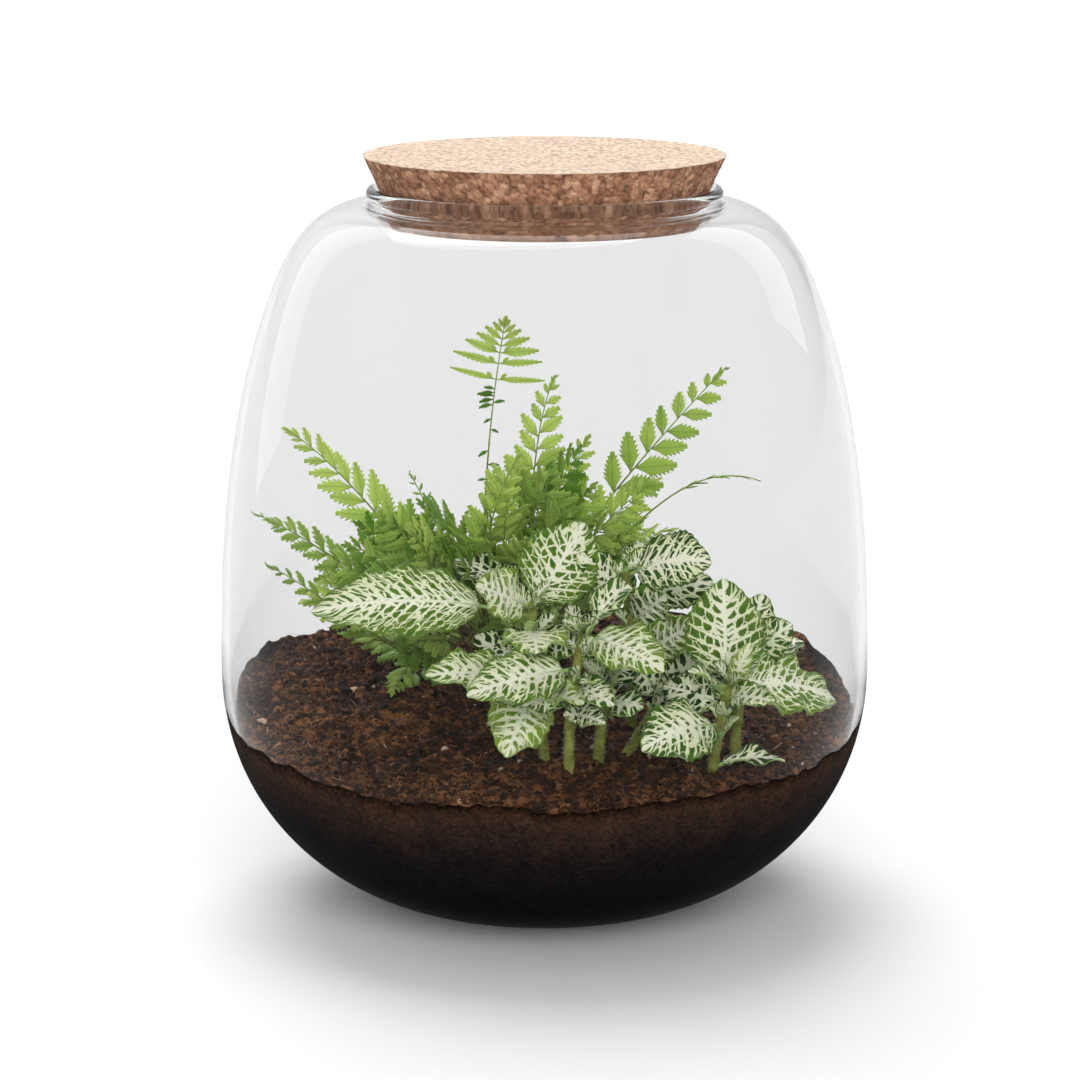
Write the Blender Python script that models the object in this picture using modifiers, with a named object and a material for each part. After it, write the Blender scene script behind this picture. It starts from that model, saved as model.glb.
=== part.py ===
"""Closed plant terrarium: a cork-stoppered glass jar with potting soil, a fern and a white-veined Fittonia.

The origin is the centre of the jar's flat foot, +Z is up and the plants' show side faces -Y.
Constants are in millimetres; mm() turns them into the scene's metres.
"""
import math

import bmesh
import bpy
from mathutils import Vector
from mathutils.geometry import interpolate_bezier

CLEARANCE = 0.3  # between neighbouring pieces

# Glass jar
WALL = 3.0
FOOT_RADIUS = 42.0
BELLY = (125.0, 92.0)  # widest radius and its height
SHOULDER = (104.0, 237.5)
SHOULDER_LEAN = math.radians(21.0)  # of the outline from the vertical
NECK = (67.0, 271.0)
LIP_HEIGHT = 274.5  # centre of the rounded lip
LIP_RADIUS = 2.3
TURNS = 40  # sides of the turned pieces

# Cork stopper, a cone that hangs in the lip
CORK_TOP = (69.0, 289.0)
CORK_BOTTOM = (57.5, 263.0)
CORK_CHAMFER = 0.6

# Potting soil: a slope that rises to the back, with soft mounds (x, y, spread, height)
SOIL_FRONT = 65.5
SOIL_SLOPE = 0.085
SOIL_MOUNDS = (
    (-45, 30, 52, 5.0),
    (-108, 40, 40, 6.0),
    (92, 72, 42, 8.0),
    (-60, -70, 30, -2.0),
)
SOIL_WALL_RINGS = 6
SOIL_TOP_RINGS = 6
PLANTING_DEPTH = 10.0

# Fern: fronds leave a short crown that sits in the soil
CROWN_AT = (-18.0, 10.0)
CROWN_RADIUS = 12.0
CROWN_HALF_HEIGHT = 9.0
FROND_THICKNESS = 0.8
RACHIS_WIDTH = 1.6
PINNA_PITCH = 7.5
PINNA_LEAN = math.radians(28.0)

# Fittonia
STEM_RADIUS = 2.2
STEM_TAPER = 0.12  # share of the radius lost by the top
LEAF_THICKNESS = 0.8
PETIOLE_WIDTH = 1.8
LEAF_SECTIONS = 5

# name: (tip, bow of the middle, seat azimuth and elevation on the crown in degrees,
#        where the blade starts, half width, way the face looks)
FRONDS = {
    "fern_frond_01": ((-15, 20, 223), (-10, 4, 0), 140, 76, 0.62, 18, (0, -1, 0.15)),
    "fern_frond_02": ((4, -10, 206), (-12, 0, 5), -20, 68, 0.45, 15, (-0.2, -1, 0.1)),
    "fern_frond_03": ((17, 15, 178), (-6, 0, 12), 15, 48, 0.45, 13, (-0.2, -0.8, 0.5)),
    "fern_frond_04": ((70, 10, 206), (-6, 0, 6), 35, 62, 0.48, 18, (-0.3, -1, 0.2)),
    "fern_frond_05": ((83, -5, 164), (-14, 0, 61), -4, 46, 0.62, 7, (0, 0.22, 1)),
    "fern_frond_06": ((38, -20, 153), (0, 0, 15), -32, 28, 0.4, 13, (0, -0.2, 1)),
    "fern_frond_07": ((-98, -10, 185), (0, 0, 22), 190, 58, 0.32, 12, (0.3, -0.8, 0.55)),
    "fern_frond_08": ((-104, -25, 153), (0, 0, 11), 200, 34, 0.32, 13, (0.1, -0.75, 0.65)),
    "fern_frond_09": ((-114, 5, 150), (-8, 6, 16), 172, 38, 0.55, 5, (0, -0.5, 0.8)),
    "fern_frond_10": ((-105, -34, 138), (0, -4, 3), 205, 12, 0.45, 8, (0, -0.7, 0.7)),
    "fern_frond_11": ((-86, -8, 116), (0, 0, 4), 185, 10, 0.45, 8, (0, -0.3, 1)),
    "fern_frond_12": ((-79, 22, 98), (0, 0, 6), 160, 12, 0.4, 12, (0, -0.5, 0.85)),
    "fern_frond_13": ((-9, -45, 182), (-18, -2, 6), 240, 62, 0.38, 15, (0, -0.9, 0.35)),
    "fern_frond_14": ((-52, -5, 168), (0, 0, 8), 215, 70, 0.5, 8, (0, -0.8, 0.5)),
    "fern_frond_15": ((-50, -42, 152), (0, 0, 16), 232, 36, 0.4, 14, (0, -0.7, 0.7)),
    "fern_frond_16": ((30, 82, 130), (0, 0, 16), 62, 20, 0.4, 14, (0, 0.2, 1)),
    "fern_frond_17": ((-52, 84, 132), (0, 0, 16), 118, 22, 0.4, 14, (0, 0.2, 1)),
}

# name: base on the soil (x, y), middle, top
STEMS = {
    "fittonia_stem_1": ((9, -78), (8, -76, 96), (15, -68, 120)),
    "fittonia_stem_2": ((0, -70), (-3, -66, 97), (-5, -52, 127)),
    "fittonia_stem_3": ((20, -67), (20, -67, 82), (24, -66, 99)),
    "fittonia_stem_4": ((31, -58), (38, -54, 81), (46, -48, 93)),
    "fittonia_stem_5": ((62, -76), (63, -75, 82), (68, -72, 102)),
    "fittonia_stem_6": ((71, -60), (72, -56, 90), (75, -50, 109)),
    "fittonia_stem_7": ((33, -34), (34, -36, 108), (30, -38, 136)),
}

# stem, height along it, tip, width, arch of the midrib, share taken by the petiole, way the face looks
LEAVES = (
    ("fittonia_stem_2", 0.93, (-86, -62, 126), 30, 0.14, 0.25, (0, -0.7, 0.7)),
    ("fittonia_stem_2", 0.97, (-34, -26, 138), 20, 0.12, 0.2, (0, -0.4, 0.9)),
    ("fittonia_stem_2", 0.97, (-25, -82, 140), 21, 0.1, 0.15, (-0.1, -0.9, 0.45)),
    ("fittonia_stem_2", 0.84, (-3, -91, 117), 24, 0.14, 0.14, (0, -0.8, 0.6)),
    ("fittonia_stem_2", 0.99, (15, -36, 154), 31, 0.06, 0.08, (0, -1, 0.3)),
    ("fittonia_stem_2", 0.55, (-43, -92, 109), 18, 0.08, 0.25, (-0.1, -0.75, 0.65)),
    ("fittonia_stem_1", 0.72, (-28, -102, 104), 22, 0.1, 0.12, (0, -0.8, 0.6)),
    ("fittonia_stem_2", 0.5, (-14, -98, 80), 24, 0.1, 0.1, (-0.1, -0.95, 0.3)),
    ("fittonia_stem_2", 0.42, (14, -98, 100), 11, 0.1, 0.15, (0, -0.7, 0.7)),
    ("fittonia_stem_1", 0.96, (43, -94, 111), 22, 0.16, 0.1, (0.1, -0.75, 0.65)),
    ("fittonia_stem_7", 0.66, (45, -56, 131), 20, 0.04, 0.12, (0, -1, 0.25)),
    ("fittonia_stem_1", 0.99, (32, -56, 134), 13, 0.3, 0.2, (0, -0.6, 0.8)),
    ("fittonia_stem_7", 0.98, (62, -51, 142), 25, 0.24, 0.12, (0.1, -0.75, 0.65)),
    ("fittonia_stem_7", 0.42, (57, -64, 123), 16, 0.06, 0.12, (0.1, -0.9, 0.4)),
    ("fittonia_stem_4", 0.98, (62, -45, 113), 17, 0.05, 0.08, (0, -0.9, 0.3)),
    ("fittonia_stem_3", 0.98, (28, -62, 115), 19, 0.05, 0.05, (0, -1, 0.2)),
    ("fittonia_stem_3", 0.9, (13, -83, 104), 9, 0.12, 0.1, (0, -0.5, 0.85)),
    ("fittonia_stem_1", 0.85, (4, -60, 118), 7, 0.12, 0.1, (0, -0.6, 0.8)),
    ("fittonia_stem_1", 0.92, (9, -52, 126), 9, 0.08, 0.1, (0, -0.7, 0.7)),
    ("fittonia_stem_5", 0.97, (66, -60, 138), 30, 0.04, 0.08, (0, -1, 0.2)),
    ("fittonia_stem_5", 0.99, (75, -78, 118), 8, 0.06, 0.08, (0, -1, 0.1)),
    ("fittonia_stem_5", 0.93, (109, -42, 87), 26, 0.2, 0.08, (0.15, -0.7, 0.7)),
    ("fittonia_stem_6", 0.86, (98, -30, 107), 17, 0.12, 0.1, (0, -0.4, 0.9)),
    ("fittonia_stem_6", 0.99, (82, -36, 127), 16, 0.04, 0.1, (0, -0.9, 0.4)),
    ("fittonia_stem_5", 0.88, (52, -90, 110), 9, 0.12, 0.1, (0, -0.5, 0.85)),
    ("fittonia_stem_5", 0.76, (44, -60, 97), 19, 0.1, 0.08, (0, -0.75, 0.65)),
    ("fittonia_stem_5", 0.55, (35, -100, 83), 25, 0.26, 0.08, (0, -0.8, 0.6)),
    ("fittonia_stem_4", 0.55, (46, -80, 77), 14, 0.12, 0.1, (0, -0.7, 0.6)),
    ("fittonia_stem_5", 0.4, (70, -95, 94), 6, 0.1, 0.1, (0, -0.7, 0.6)),
    ("fittonia_stem_5", 0.04, (88, -77, 73), 10, 0.12, 0.08, (0, -0.35, 0.93)),
    ("fittonia_stem_7", 0.86, (12, -20, 116), 20, 0.14, 0.12, (0, 0.3, 0.95)),
)


def mm(*lengths):
    """One length, or a point, in metres."""
    metres = [length * 0.001 for length in lengths]
    return metres[0] if len(metres) == 1 else Vector(metres)


# ---------------------------------------------------------------- scene and helpers


def clear_scene():
    for obj in list(bpy.data.objects):
        bpy.data.objects.remove(obj)


def collection(name):
    made = bpy.data.collections.new(name)
    bpy.context.scene.collection.children.link(made)
    return made


def material(name, colour, roughness, alpha=1.0):
    made = bpy.data.materials.new(name)
    made.use_nodes = True
    shader = made.node_tree.nodes["Principled BSDF"]
    shader.inputs["Base Color"].default_value = (*colour, 1.0)
    shader.inputs["Roughness"].default_value = roughness
    shader.inputs["Alpha"].default_value = alpha
    return made


def add_object(name, data, home, finish):
    obj = bpy.data.objects.new(name, data)
    obj.data.materials.append(finish)
    home.objects.link(obj)
    return obj


def mesh_from(name, points, faces):
    mesh = bpy.data.meshes.new(name)
    mesh.from_pydata([tuple(p) for p in points], [], faces)
    mesh.validate()
    return mesh


def turned(name, profile, home, finish):
    """A closed solid of revolution from a profile of (radius, height) points that ends on the axis."""
    points = [mm(radius, 0, height) for radius, height in profile]
    mesh = bpy.data.meshes.new(name)
    mesh.from_pydata(points, [(i, i + 1) for i in range(len(points) - 1)], [])
    obj = add_object(name, mesh, home, finish)
    screw = obj.modifiers.new("turn", "SCREW")
    screw.steps = screw.render_steps = TURNS
    screw.use_merge_vertices = True
    screw.merge_threshold = 0.00001
    screw.use_smooth_shade = True
    return obj


def curve_points(start, handle_1, handle_2, end, count):
    """count points along a cubic Bezier curve, both ends included."""
    ends = [Vector(p) for p in (start, handle_1, handle_2, end)]
    return interpolate_bezier(*ends, count)


def solid_sheet(name, points, faces, thickness, home, finish):
    """A leaf-like open surface made solid, half its thickness to each side."""
    obj = add_object(name, mesh_from(name, points, faces), home, finish)
    thicken = obj.modifiers.new("thickness", "SOLIDIFY")
    thicken.thickness = mm(thickness)
    thicken.offset = 0.0
    return obj


# ---------------------------------------------------------------- jar and stopper


def body_outline():
    """Outer outline of the jar as (radius, height), from the foot's edge up to the neck."""
    lean = Vector((-math.sin(SHOULDER_LEAN), math.cos(SHOULDER_LEAN)))
    belly, shoulder, neck = Vector(BELLY), Vector(SHOULDER), Vector(NECK)
    foot = Vector((FOOT_RADIUS, 0))
    bowl = curve_points(foot, foot + Vector((34, 0)), belly - Vector((0, 60)), belly, 8)
    side = curve_points(belly, belly + Vector((0, 65)), shoulder - lean * 38, shoulder, 6)
    top = curve_points(shoulder, shoulder + lean * 21, neck + Vector((19, 0)), neck, 6)
    return bowl + side[1:] + top[1:]


def inner_outline():
    """The body outline moved in by the wall's thickness."""
    outline = body_outline()
    moved = []
    for i, point in enumerate(outline):
        along = outline[min(i + 1, len(outline) - 1)] - outline[max(i - 1, 0)]
        if i in (0, len(outline) - 1):
            along = Vector((1, 0)) if i == 0 else Vector((-1, 0))
        inward = Vector((-along.y, along.x)).normalized()
        moved.append(point + inward * WALL)
    return moved


def cork_radius(height):
    """Radius of the stopper's cone at this height."""
    share = (height - CORK_BOTTOM[1]) / (CORK_TOP[1] - CORK_BOTTOM[1])
    return CORK_BOTTOM[0] + share * (CORK_TOP[0] - CORK_BOTTOM[0])


def lip_outline():
    """The rounded lip, from the inside over the top to under its outer edge. The cone just clears it."""
    taper = (CORK_TOP[0] - CORK_BOTTOM[0]) / (CORK_TOP[1] - CORK_BOTTOM[1])
    centre = cork_radius(LIP_HEIGHT) + (LIP_RADIUS + CLEARANCE) * math.hypot(1, taper)
    angles = [math.radians(a) for a in range(180, -61, -40)]
    return [(centre + LIP_RADIUS * math.cos(a), LIP_HEIGHT + LIP_RADIUS * math.sin(a)) for a in angles]


def glass_jar(home, finish):
    inside = [tuple(p) for p in inner_outline()]
    lip = lip_outline()
    throat = [(lip[0][0] + 1.0, inside[-1][1] + 1.2), (lip[0][0] + 0.1, inside[-1][1] + 3.2)]
    outside = [tuple(p) for p in reversed(body_outline())]
    turned("glass_jar", [(0, WALL)] + inside + throat + lip + outside + [(0, 0)], home, finish)


def cork_stopper(home, finish):
    (top_radius, top), (bottom_radius, bottom) = CORK_TOP, CORK_BOTTOM
    profile = [
        (0, top),
        (top_radius - CORK_CHAMFER, top),
        (top_radius, top - CORK_CHAMFER),
        (bottom_radius, bottom + CORK_CHAMFER),
        (bottom_radius - CORK_CHAMFER, bottom),
        (0, bottom),
    ]
    turned("cork_stopper", profile, home, finish)


# ---------------------------------------------------------------- soil


def soil_height(x, y):
    """Height of the soil's surface at a place, all in millimetres."""
    height = SOIL_FRONT + SOIL_SLOPE * (y + BELLY[0])
    for mound_x, mound_y, spread, rise in SOIL_MOUNDS:
        distance = math.hypot(x - mound_x, y - mound_y) / spread
        height += rise * math.exp(-distance * distance)
    return height + 0.8 * math.sin(x / 9.0 + 1.0) * math.cos(y / 11.0)


def wall_radius(height):
    """Radius of the jar's inner wall at this height."""
    inside = inner_outline()
    for low, high in zip(inside, inside[1:]):
        if low.y <= height <= high.y:
            return low.x + (high.x - low.x) * (height - low.y) / (high.y - low.y)
    return inside[0].x


def soil_edge(angle):
    """(radius, height) where the soil's surface meets the wall at this angle."""
    radius = BELLY[0] - WALL
    for _ in range(4):
        height = soil_height(radius * math.cos(angle), radius * math.sin(angle))
        radius = wall_radius(height) - CLEARANCE
    return radius, height


def soil_rings():
    """Rings of points from the middle of the floor, up the wall and back in over the surface."""
    angles = [2 * math.pi * i / TURNS for i in range(TURNS)]
    edges = [soil_edge(a) for a in angles]
    floor = WALL + CLEARANCE
    rings = []
    for ring in range(SOIL_WALL_RINGS + 1):
        share = (ring / SOIL_WALL_RINGS) ** 1.6
        points = []
        for angle, (edge_radius, edge_height) in zip(angles, edges):
            height = floor + share * (edge_height - floor)
            radius = FOOT_RADIUS if ring == 0 else min(wall_radius(height) - CLEARANCE, edge_radius)
            points.append(mm(radius * math.cos(angle), radius * math.sin(angle), height))
        rings.append(points)
    for ring in range(1, SOIL_TOP_RINGS):
        points = []
        for angle, (edge_radius, _) in zip(angles, edges):
            radius = edge_radius * (1 - ring / SOIL_TOP_RINGS)
            x, y = radius * math.cos(angle), radius * math.sin(angle)
            points.append(mm(x, y, soil_height(x, y)))
        rings.append(points)
    return rings


def potting_soil(home, cutters, finish):
    """A loft between the bowl of the jar and the uneven surface, with a socket for each planted piece."""
    rings = soil_rings()
    bottom, top = mm(0, 0, WALL + CLEARANCE), mm(0, 0, soil_height(0, 0))
    points = [bottom] + [p for ring in rings for p in ring] + [top]
    faces = []
    for i in range(TURNS):
        j = (i + 1) % TURNS
        faces.append((0, 1 + j, 1 + i))
        for ring in range(len(rings) - 1):
            low, high = 1 + ring * TURNS, 1 + (ring + 1) * TURNS
            faces.append((low + i, low + j, high + j, high + i))
        last = 1 + (len(rings) - 1) * TURNS
        faces.append((last + i, last + j, len(points) - 1))
    soil = add_object("potting_soil", mesh_from("potting_soil", points, faces), home, finish)
    for cutter in cutters.objects:
        cut = soil.modifiers.new(cutter.name, "BOOLEAN")
        cut.operation = "DIFFERENCE"
        cut.object = cutter


def socket(name, start, end, radius, cutters):
    """A round hole for a stem, as a hidden cutter along the line from start to end."""
    bpy.ops.mesh.primitive_cylinder_add(vertices=12, radius=mm(radius), depth=mm((end - start).length))
    obj = bpy.context.object
    obj.name = name
    obj.location = mm(*((start + end) / 2))
    obj.rotation_mode = "QUATERNION"
    obj.rotation_quaternion = (end - start).to_track_quat("Z", "Y")
    hide_in(obj, cutters)


def hide_in(obj, cutters):
    for old in list(obj.users_collection):
        old.objects.unlink(obj)
    cutters.objects.link(obj)
    obj.hide_render = True
    obj.display_type = "WIRE"


# ---------------------------------------------------------------- fern


def crown_centre():
    return Vector((*CROWN_AT, soil_height(*CROWN_AT) + 2.0))


def ellipsoid(name, grow, home):
    """The crown's shape, grown by a clearance where it is a cutter."""
    bpy.ops.mesh.primitive_uv_sphere_add(segments=16, ring_count=8, radius=1.0)
    obj = bpy.context.object
    obj.name = name
    side, height = mm(CROWN_RADIUS + grow), mm(CROWN_HALF_HEIGHT + grow)
    for vertex in obj.data.vertices:
        vertex.co = Vector((vertex.co.x * side, vertex.co.y * side, vertex.co.z * height))
    obj.location = mm(*crown_centre())
    for old in list(obj.users_collection):
        old.objects.unlink(obj)
    home.objects.link(obj)
    return obj


def fern_crown(home, cutters, finish):
    crown = ellipsoid("fern_crown", 0, home)
    crown.data.materials.append(finish)
    crown.data.shade_smooth()
    hide_in(ellipsoid("crown_socket", 1.5 * CLEARANCE, cutters), cutters)


def frond_rachis(tip, bow, azimuth, elevation, count):
    """The frond's midline, in millimetres: out of the crown's skin, then over to its tip."""
    turn, lift = math.radians(azimuth), math.radians(elevation)
    out = Vector((math.cos(turn) * math.cos(lift), math.sin(turn) * math.cos(lift), math.sin(lift)))
    skin = 1 / math.hypot(math.cos(lift) / CROWN_RADIUS, math.sin(lift) / CROWN_HALF_HEIGHT)
    start, end = crown_centre() + out * (skin + 2 * CLEARANCE), Vector(tip)
    reach = (end - start).length
    middle = (start + end) / 2 + Vector(bow)
    return curve_points(start, start + out * reach * 0.3, end + (middle - end) * 0.6, end, count)


def frame_along(line, face):
    """Direction and sideways direction at each point of a line, for a blade that looks along face."""
    frames = []
    for i in range(len(line)):
        along = (line[min(i + 1, len(line) - 1)] - line[max(i - 1, 0)]).normalized()
        frames.append((along, along.cross(Vector(face)).normalized()))
    return frames


def frond_width(share):
    """Half width of a frond's blade as a share of its widest, from the blade's start (0) to its tip (1)."""
    return min(1.0, 0.55 + 3.0 * share) * (1 - share) ** 0.75


def fern_frond(name, home, finish):
    """A midrib strip whose every second step carries a pinna on each side."""
    tip, bow, azimuth, elevation, blade_start, half_width, face = FRONDS[name]
    rough = frond_rachis(tip, bow, azimuth, elevation, 12)
    length = sum((b - a).length for a, b in zip(rough, rough[1:]))
    pairs = max(4, round(length * (1 - blade_start) / PINNA_PITCH))
    stalk_steps = 3
    shares = [blade_start * i / stalk_steps for i in range(stalk_steps)]
    shares += [blade_start + (1 - blade_start) * i / (2 * pairs) for i in range(2 * pairs + 1)]
    fine = frond_rachis(tip, bow, azimuth, elevation, 101)
    line = [fine[round(100 * share)] for share in shares]
    frames = frame_along(line, face)
    points, faces = [], []
    for i, (point, (_, side)) in enumerate(zip(line, frames)):
        width = RACHIS_WIDTH / 2 * (1 - 0.5 * i / len(line))
        points += [mm(*(point - side * width)), mm(*(point + side * width))]
        if i:
            faces.append((2 * i - 2, 2 * i - 1, 2 * i + 1, 2 * i))
    for pair in range(pairs):
        first = stalk_steps + 2 * pair
        reach = half_width * frond_width(pair / pairs)
        for sign, row in ((-1, 0), (1, 1)):
            along, side = frames[first]
            out = (side * sign * math.cos(PINNA_LEAN) + along * math.sin(PINNA_LEAN)).normalized()
            root = [2 * first + row, 2 * first + 2 + row]
            waist = [Vector(points[v]) + out * mm(reach * 0.6) for v in root]
            end = (waist[0] + waist[1]) / 2 + out * mm(reach * 0.4)
            at = len(points)
            points += [*waist, end]
            quad = (root[0], root[1], at + 1, at)
            point_face = (at, at + 1, at + 2)
            faces += [quad, point_face] if sign < 0 else [quad[::-1], point_face[::-1]]
    solid_sheet(name, points, faces, FROND_THICKNESS, home, finish)


# ---------------------------------------------------------------- fittonia


def stem_line(name):
    """The stem's midline in millimetres, from the soil up, and its direction where it is planted."""
    (x, y), middle, top = STEMS[name]
    base, middle, top = Vector((x, y, soil_height(x, y))), Vector(middle), Vector(top)
    line = curve_points(base, base + (middle - base) * 0.66, top + (middle - top) * 0.66, top, 5)
    return line, (line[1] - line[0]).normalized()


def stem_radius(share):
    return STEM_RADIUS * (1 - STEM_TAPER * share)


def stem_at(name, share):
    """A point on the stem's midline and the stem's direction there."""
    line, _ = stem_line(name)
    place = share * (len(line) - 1)
    i = min(int(place), len(line) - 2)
    along = line[i + 1] - line[i]
    return line[i] + along * (place - i), along.normalized()


def fittonia_stem(name, home, cutters, finish):
    """A fleshy stem, planted along its own direction."""
    line, planted = stem_line(name)
    root = line[0] - planted * PLANTING_DEPTH
    curve = bpy.data.curves.new(name, "CURVE")
    curve.dimensions = "3D"
    curve.bevel_depth = mm(STEM_RADIUS)
    curve.bevel_resolution = 2
    curve.use_fill_caps = True
    spline = curve.splines.new("POLY")
    path = [root, *line]
    spline.points.add(len(path) - 1)
    for i, (point, at) in enumerate(zip(spline.points, path)):
        point.co = (*mm(*at), 1.0)
        point.radius = 1 - STEM_TAPER * max(0, i - 1) / (len(path) - 2)
    add_object(name, curve, home, finish)
    bottom, top = root - planted * 2 * CLEARANCE, line[0] + planted * 6
    socket(name + "_socket", bottom, top, STEM_RADIUS + 2 * CLEARANCE, cutters)


def leaf_width(share):
    """Half width of a leaf's blade as a share of its widest, from its base (0) to its pointed tip (1)."""
    return 2.67 * share**0.6 * (1 - share) ** 0.85


def leaf_midrib(stem, share, tip, arch, face, count):
    """The leaf's midline, in millimetres, from the stem's skin to the tip."""
    at, axis = stem_at(stem, share)
    tip, face = Vector(tip), Vector(face).normalized()
    chord = tip - at
    out = (chord - axis * chord.dot(axis)).normalized()
    lift = face * arch * chord.length
    heading = (chord / 3 + lift).normalized()
    start = at + out * (stem_radius(share) + CLEARANCE + PETIOLE_WIDTH / 2 * abs(heading.dot(axis)))
    chord = tip - start
    return curve_points(start, start + chord / 3 + lift, tip - chord / 3 + lift, tip, count)


def fittonia_leaf(name, stem, share, tip, width, arch, petiole, face, home, finish):
    """A petiole and blade as one strip, three points across."""
    shares = [0, petiole] + [
        petiole + (1 - petiole) * (i + 0.5) / LEAF_SECTIONS for i in range(LEAF_SECTIONS)
    ] + [1]
    fine = leaf_midrib(stem, share, tip, arch, face, 101)
    line = [fine[round(100 * s)] for s in shares]
    frames = frame_along(line, face)
    points, faces = [], []
    for i, (point, (_, side)) in enumerate(zip(line, frames)):
        if i < 2:
            half = PETIOLE_WIDTH / 2
        elif i == len(line) - 1:
            half = 0.4
        else:
            half = max(0.8, width / 2 * leaf_width((shares[i] - petiole) / (1 - petiole)))
        points += [mm(*(point + side * half * step)) for step in (-1, 0, 1)]
        if i:
            at = 3 * i
            faces += [(at - 3, at - 2, at + 1, at), (at - 2, at - 1, at + 2, at + 1)]
    solid_sheet(name, points, faces, LEAF_THICKNESS, home, finish)


# ---------------------------------------------------------------- build


def main():
    clear_scene()
    home, cutters = collection("plant_terrarium"), collection("cutters")
    glass = material("clear_glass", (0.92, 0.95, 0.95), 0.02, alpha=0.3)
    cork = material("cork", (0.52, 0.33, 0.2), 0.9)
    earth = material("potting_soil", (0.045, 0.025, 0.016), 1.0)
    frond_green = material("fern_green", (0.2, 0.42, 0.07), 0.5)
    root_brown = material("crown_brown", (0.1, 0.06, 0.03), 0.9)
    stem_green = material("stem_green", (0.3, 0.42, 0.1), 0.5)
    leaf_green = material("veined_leaf", (0.45, 0.55, 0.35), 0.45)

    glass_jar(home, glass)
    cork_stopper(home, cork)
    fern_crown(home, cutters, root_brown)
    for name in FRONDS:
        fern_frond(name, home, frond_green)
    for name in STEMS:
        fittonia_stem(name, home, cutters, stem_green)
    for number, leaf in enumerate(LEAVES, 1):
        fittonia_leaf(f"fittonia_leaf_{number:02d}", *leaf, home, leaf_green)
    potting_soil(home, cutters, earth)


main()
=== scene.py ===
"""Looks of the closed plant terrarium: blown glass jar, cork stopper, potting soil, fern and Fittonia.

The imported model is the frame. The pieces here are finer, finished forms of its nodes and ride on it; the
soil's crumbs and fibres and the smallest fronds and leaves have no node. Lengths in the tables are
millimetres; everything handed to Blender is in metres.
"""

import math

import bpy
import numpy as np
from bpy.props import FloatProperty, FloatVectorProperty, IntProperty, PointerProperty
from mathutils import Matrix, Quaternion, Vector
from mathutils.geometry import interpolate_bezier


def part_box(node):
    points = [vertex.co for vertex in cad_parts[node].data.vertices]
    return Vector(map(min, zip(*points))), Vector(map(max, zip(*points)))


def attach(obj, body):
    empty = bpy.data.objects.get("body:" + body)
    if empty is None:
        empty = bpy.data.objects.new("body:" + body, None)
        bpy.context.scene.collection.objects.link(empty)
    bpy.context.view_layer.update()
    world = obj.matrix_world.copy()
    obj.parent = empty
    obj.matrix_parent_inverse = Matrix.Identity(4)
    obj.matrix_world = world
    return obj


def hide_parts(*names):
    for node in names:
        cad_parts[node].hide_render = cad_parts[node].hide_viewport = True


bl_info = {
    "name": "Plant terrarium",
    "version": (1, 0, 0),
    "blender": (4, 5, 0),
    "location": "3D View > Sidebar > Terrarium",
    "description": "Builds a cork-stoppered glass jar planted with a fern and a Fittonia",
    "category": "Object",
}

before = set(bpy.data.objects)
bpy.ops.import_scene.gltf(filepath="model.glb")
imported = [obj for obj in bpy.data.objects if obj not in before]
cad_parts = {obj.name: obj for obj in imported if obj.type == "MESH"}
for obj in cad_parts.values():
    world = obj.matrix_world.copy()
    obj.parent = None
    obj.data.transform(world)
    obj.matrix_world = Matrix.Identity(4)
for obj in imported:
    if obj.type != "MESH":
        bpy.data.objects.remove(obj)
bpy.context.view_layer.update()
MM = 0.001

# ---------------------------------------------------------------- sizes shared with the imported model, in mm

BELLY_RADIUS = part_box("glass_jar")[1].x / MM
BELLY_HEIGHT = 92.0
WALL = 3.0
FOOT_RADIUS = 42.0
SHOULDER = (104.0, 237.5)
SHOULDER_LEAN = math.radians(21.0)
NECK = (67.0, 271.0)
LIP_HEIGHT = 274.5
LIP_RADIUS = 2.3
CLEARANCE = 0.3
CORK_TOP = (69.0, 289.0)
CORK_BOTTOM = (57.5, 263.0)

SOIL_FRONT = 65.5
SOIL_SLOPE = 0.085
SOIL_MOUNDS = ((-45, 30, 52, 5.0), (-108, 40, 40, 6.0), (92, 72, 42, 8.0), (-60, -70, 30, -2.0))
SOIL_PRESS = 0.12  # how far the wet soil reaches into the inner face of the glass
LOOSE_GAP = 0.8  # between the wall and the loose crumbs and fibres
SCATTER_RADIUS = 117

CROWN_AT = (-18.0, 10.0)
CROWN_RADIUS = 12.0
CROWN_HALF_HEIGHT = 9.0
STEM_RADIUS = 2.2
STEM_TAPER = 0.12

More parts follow.
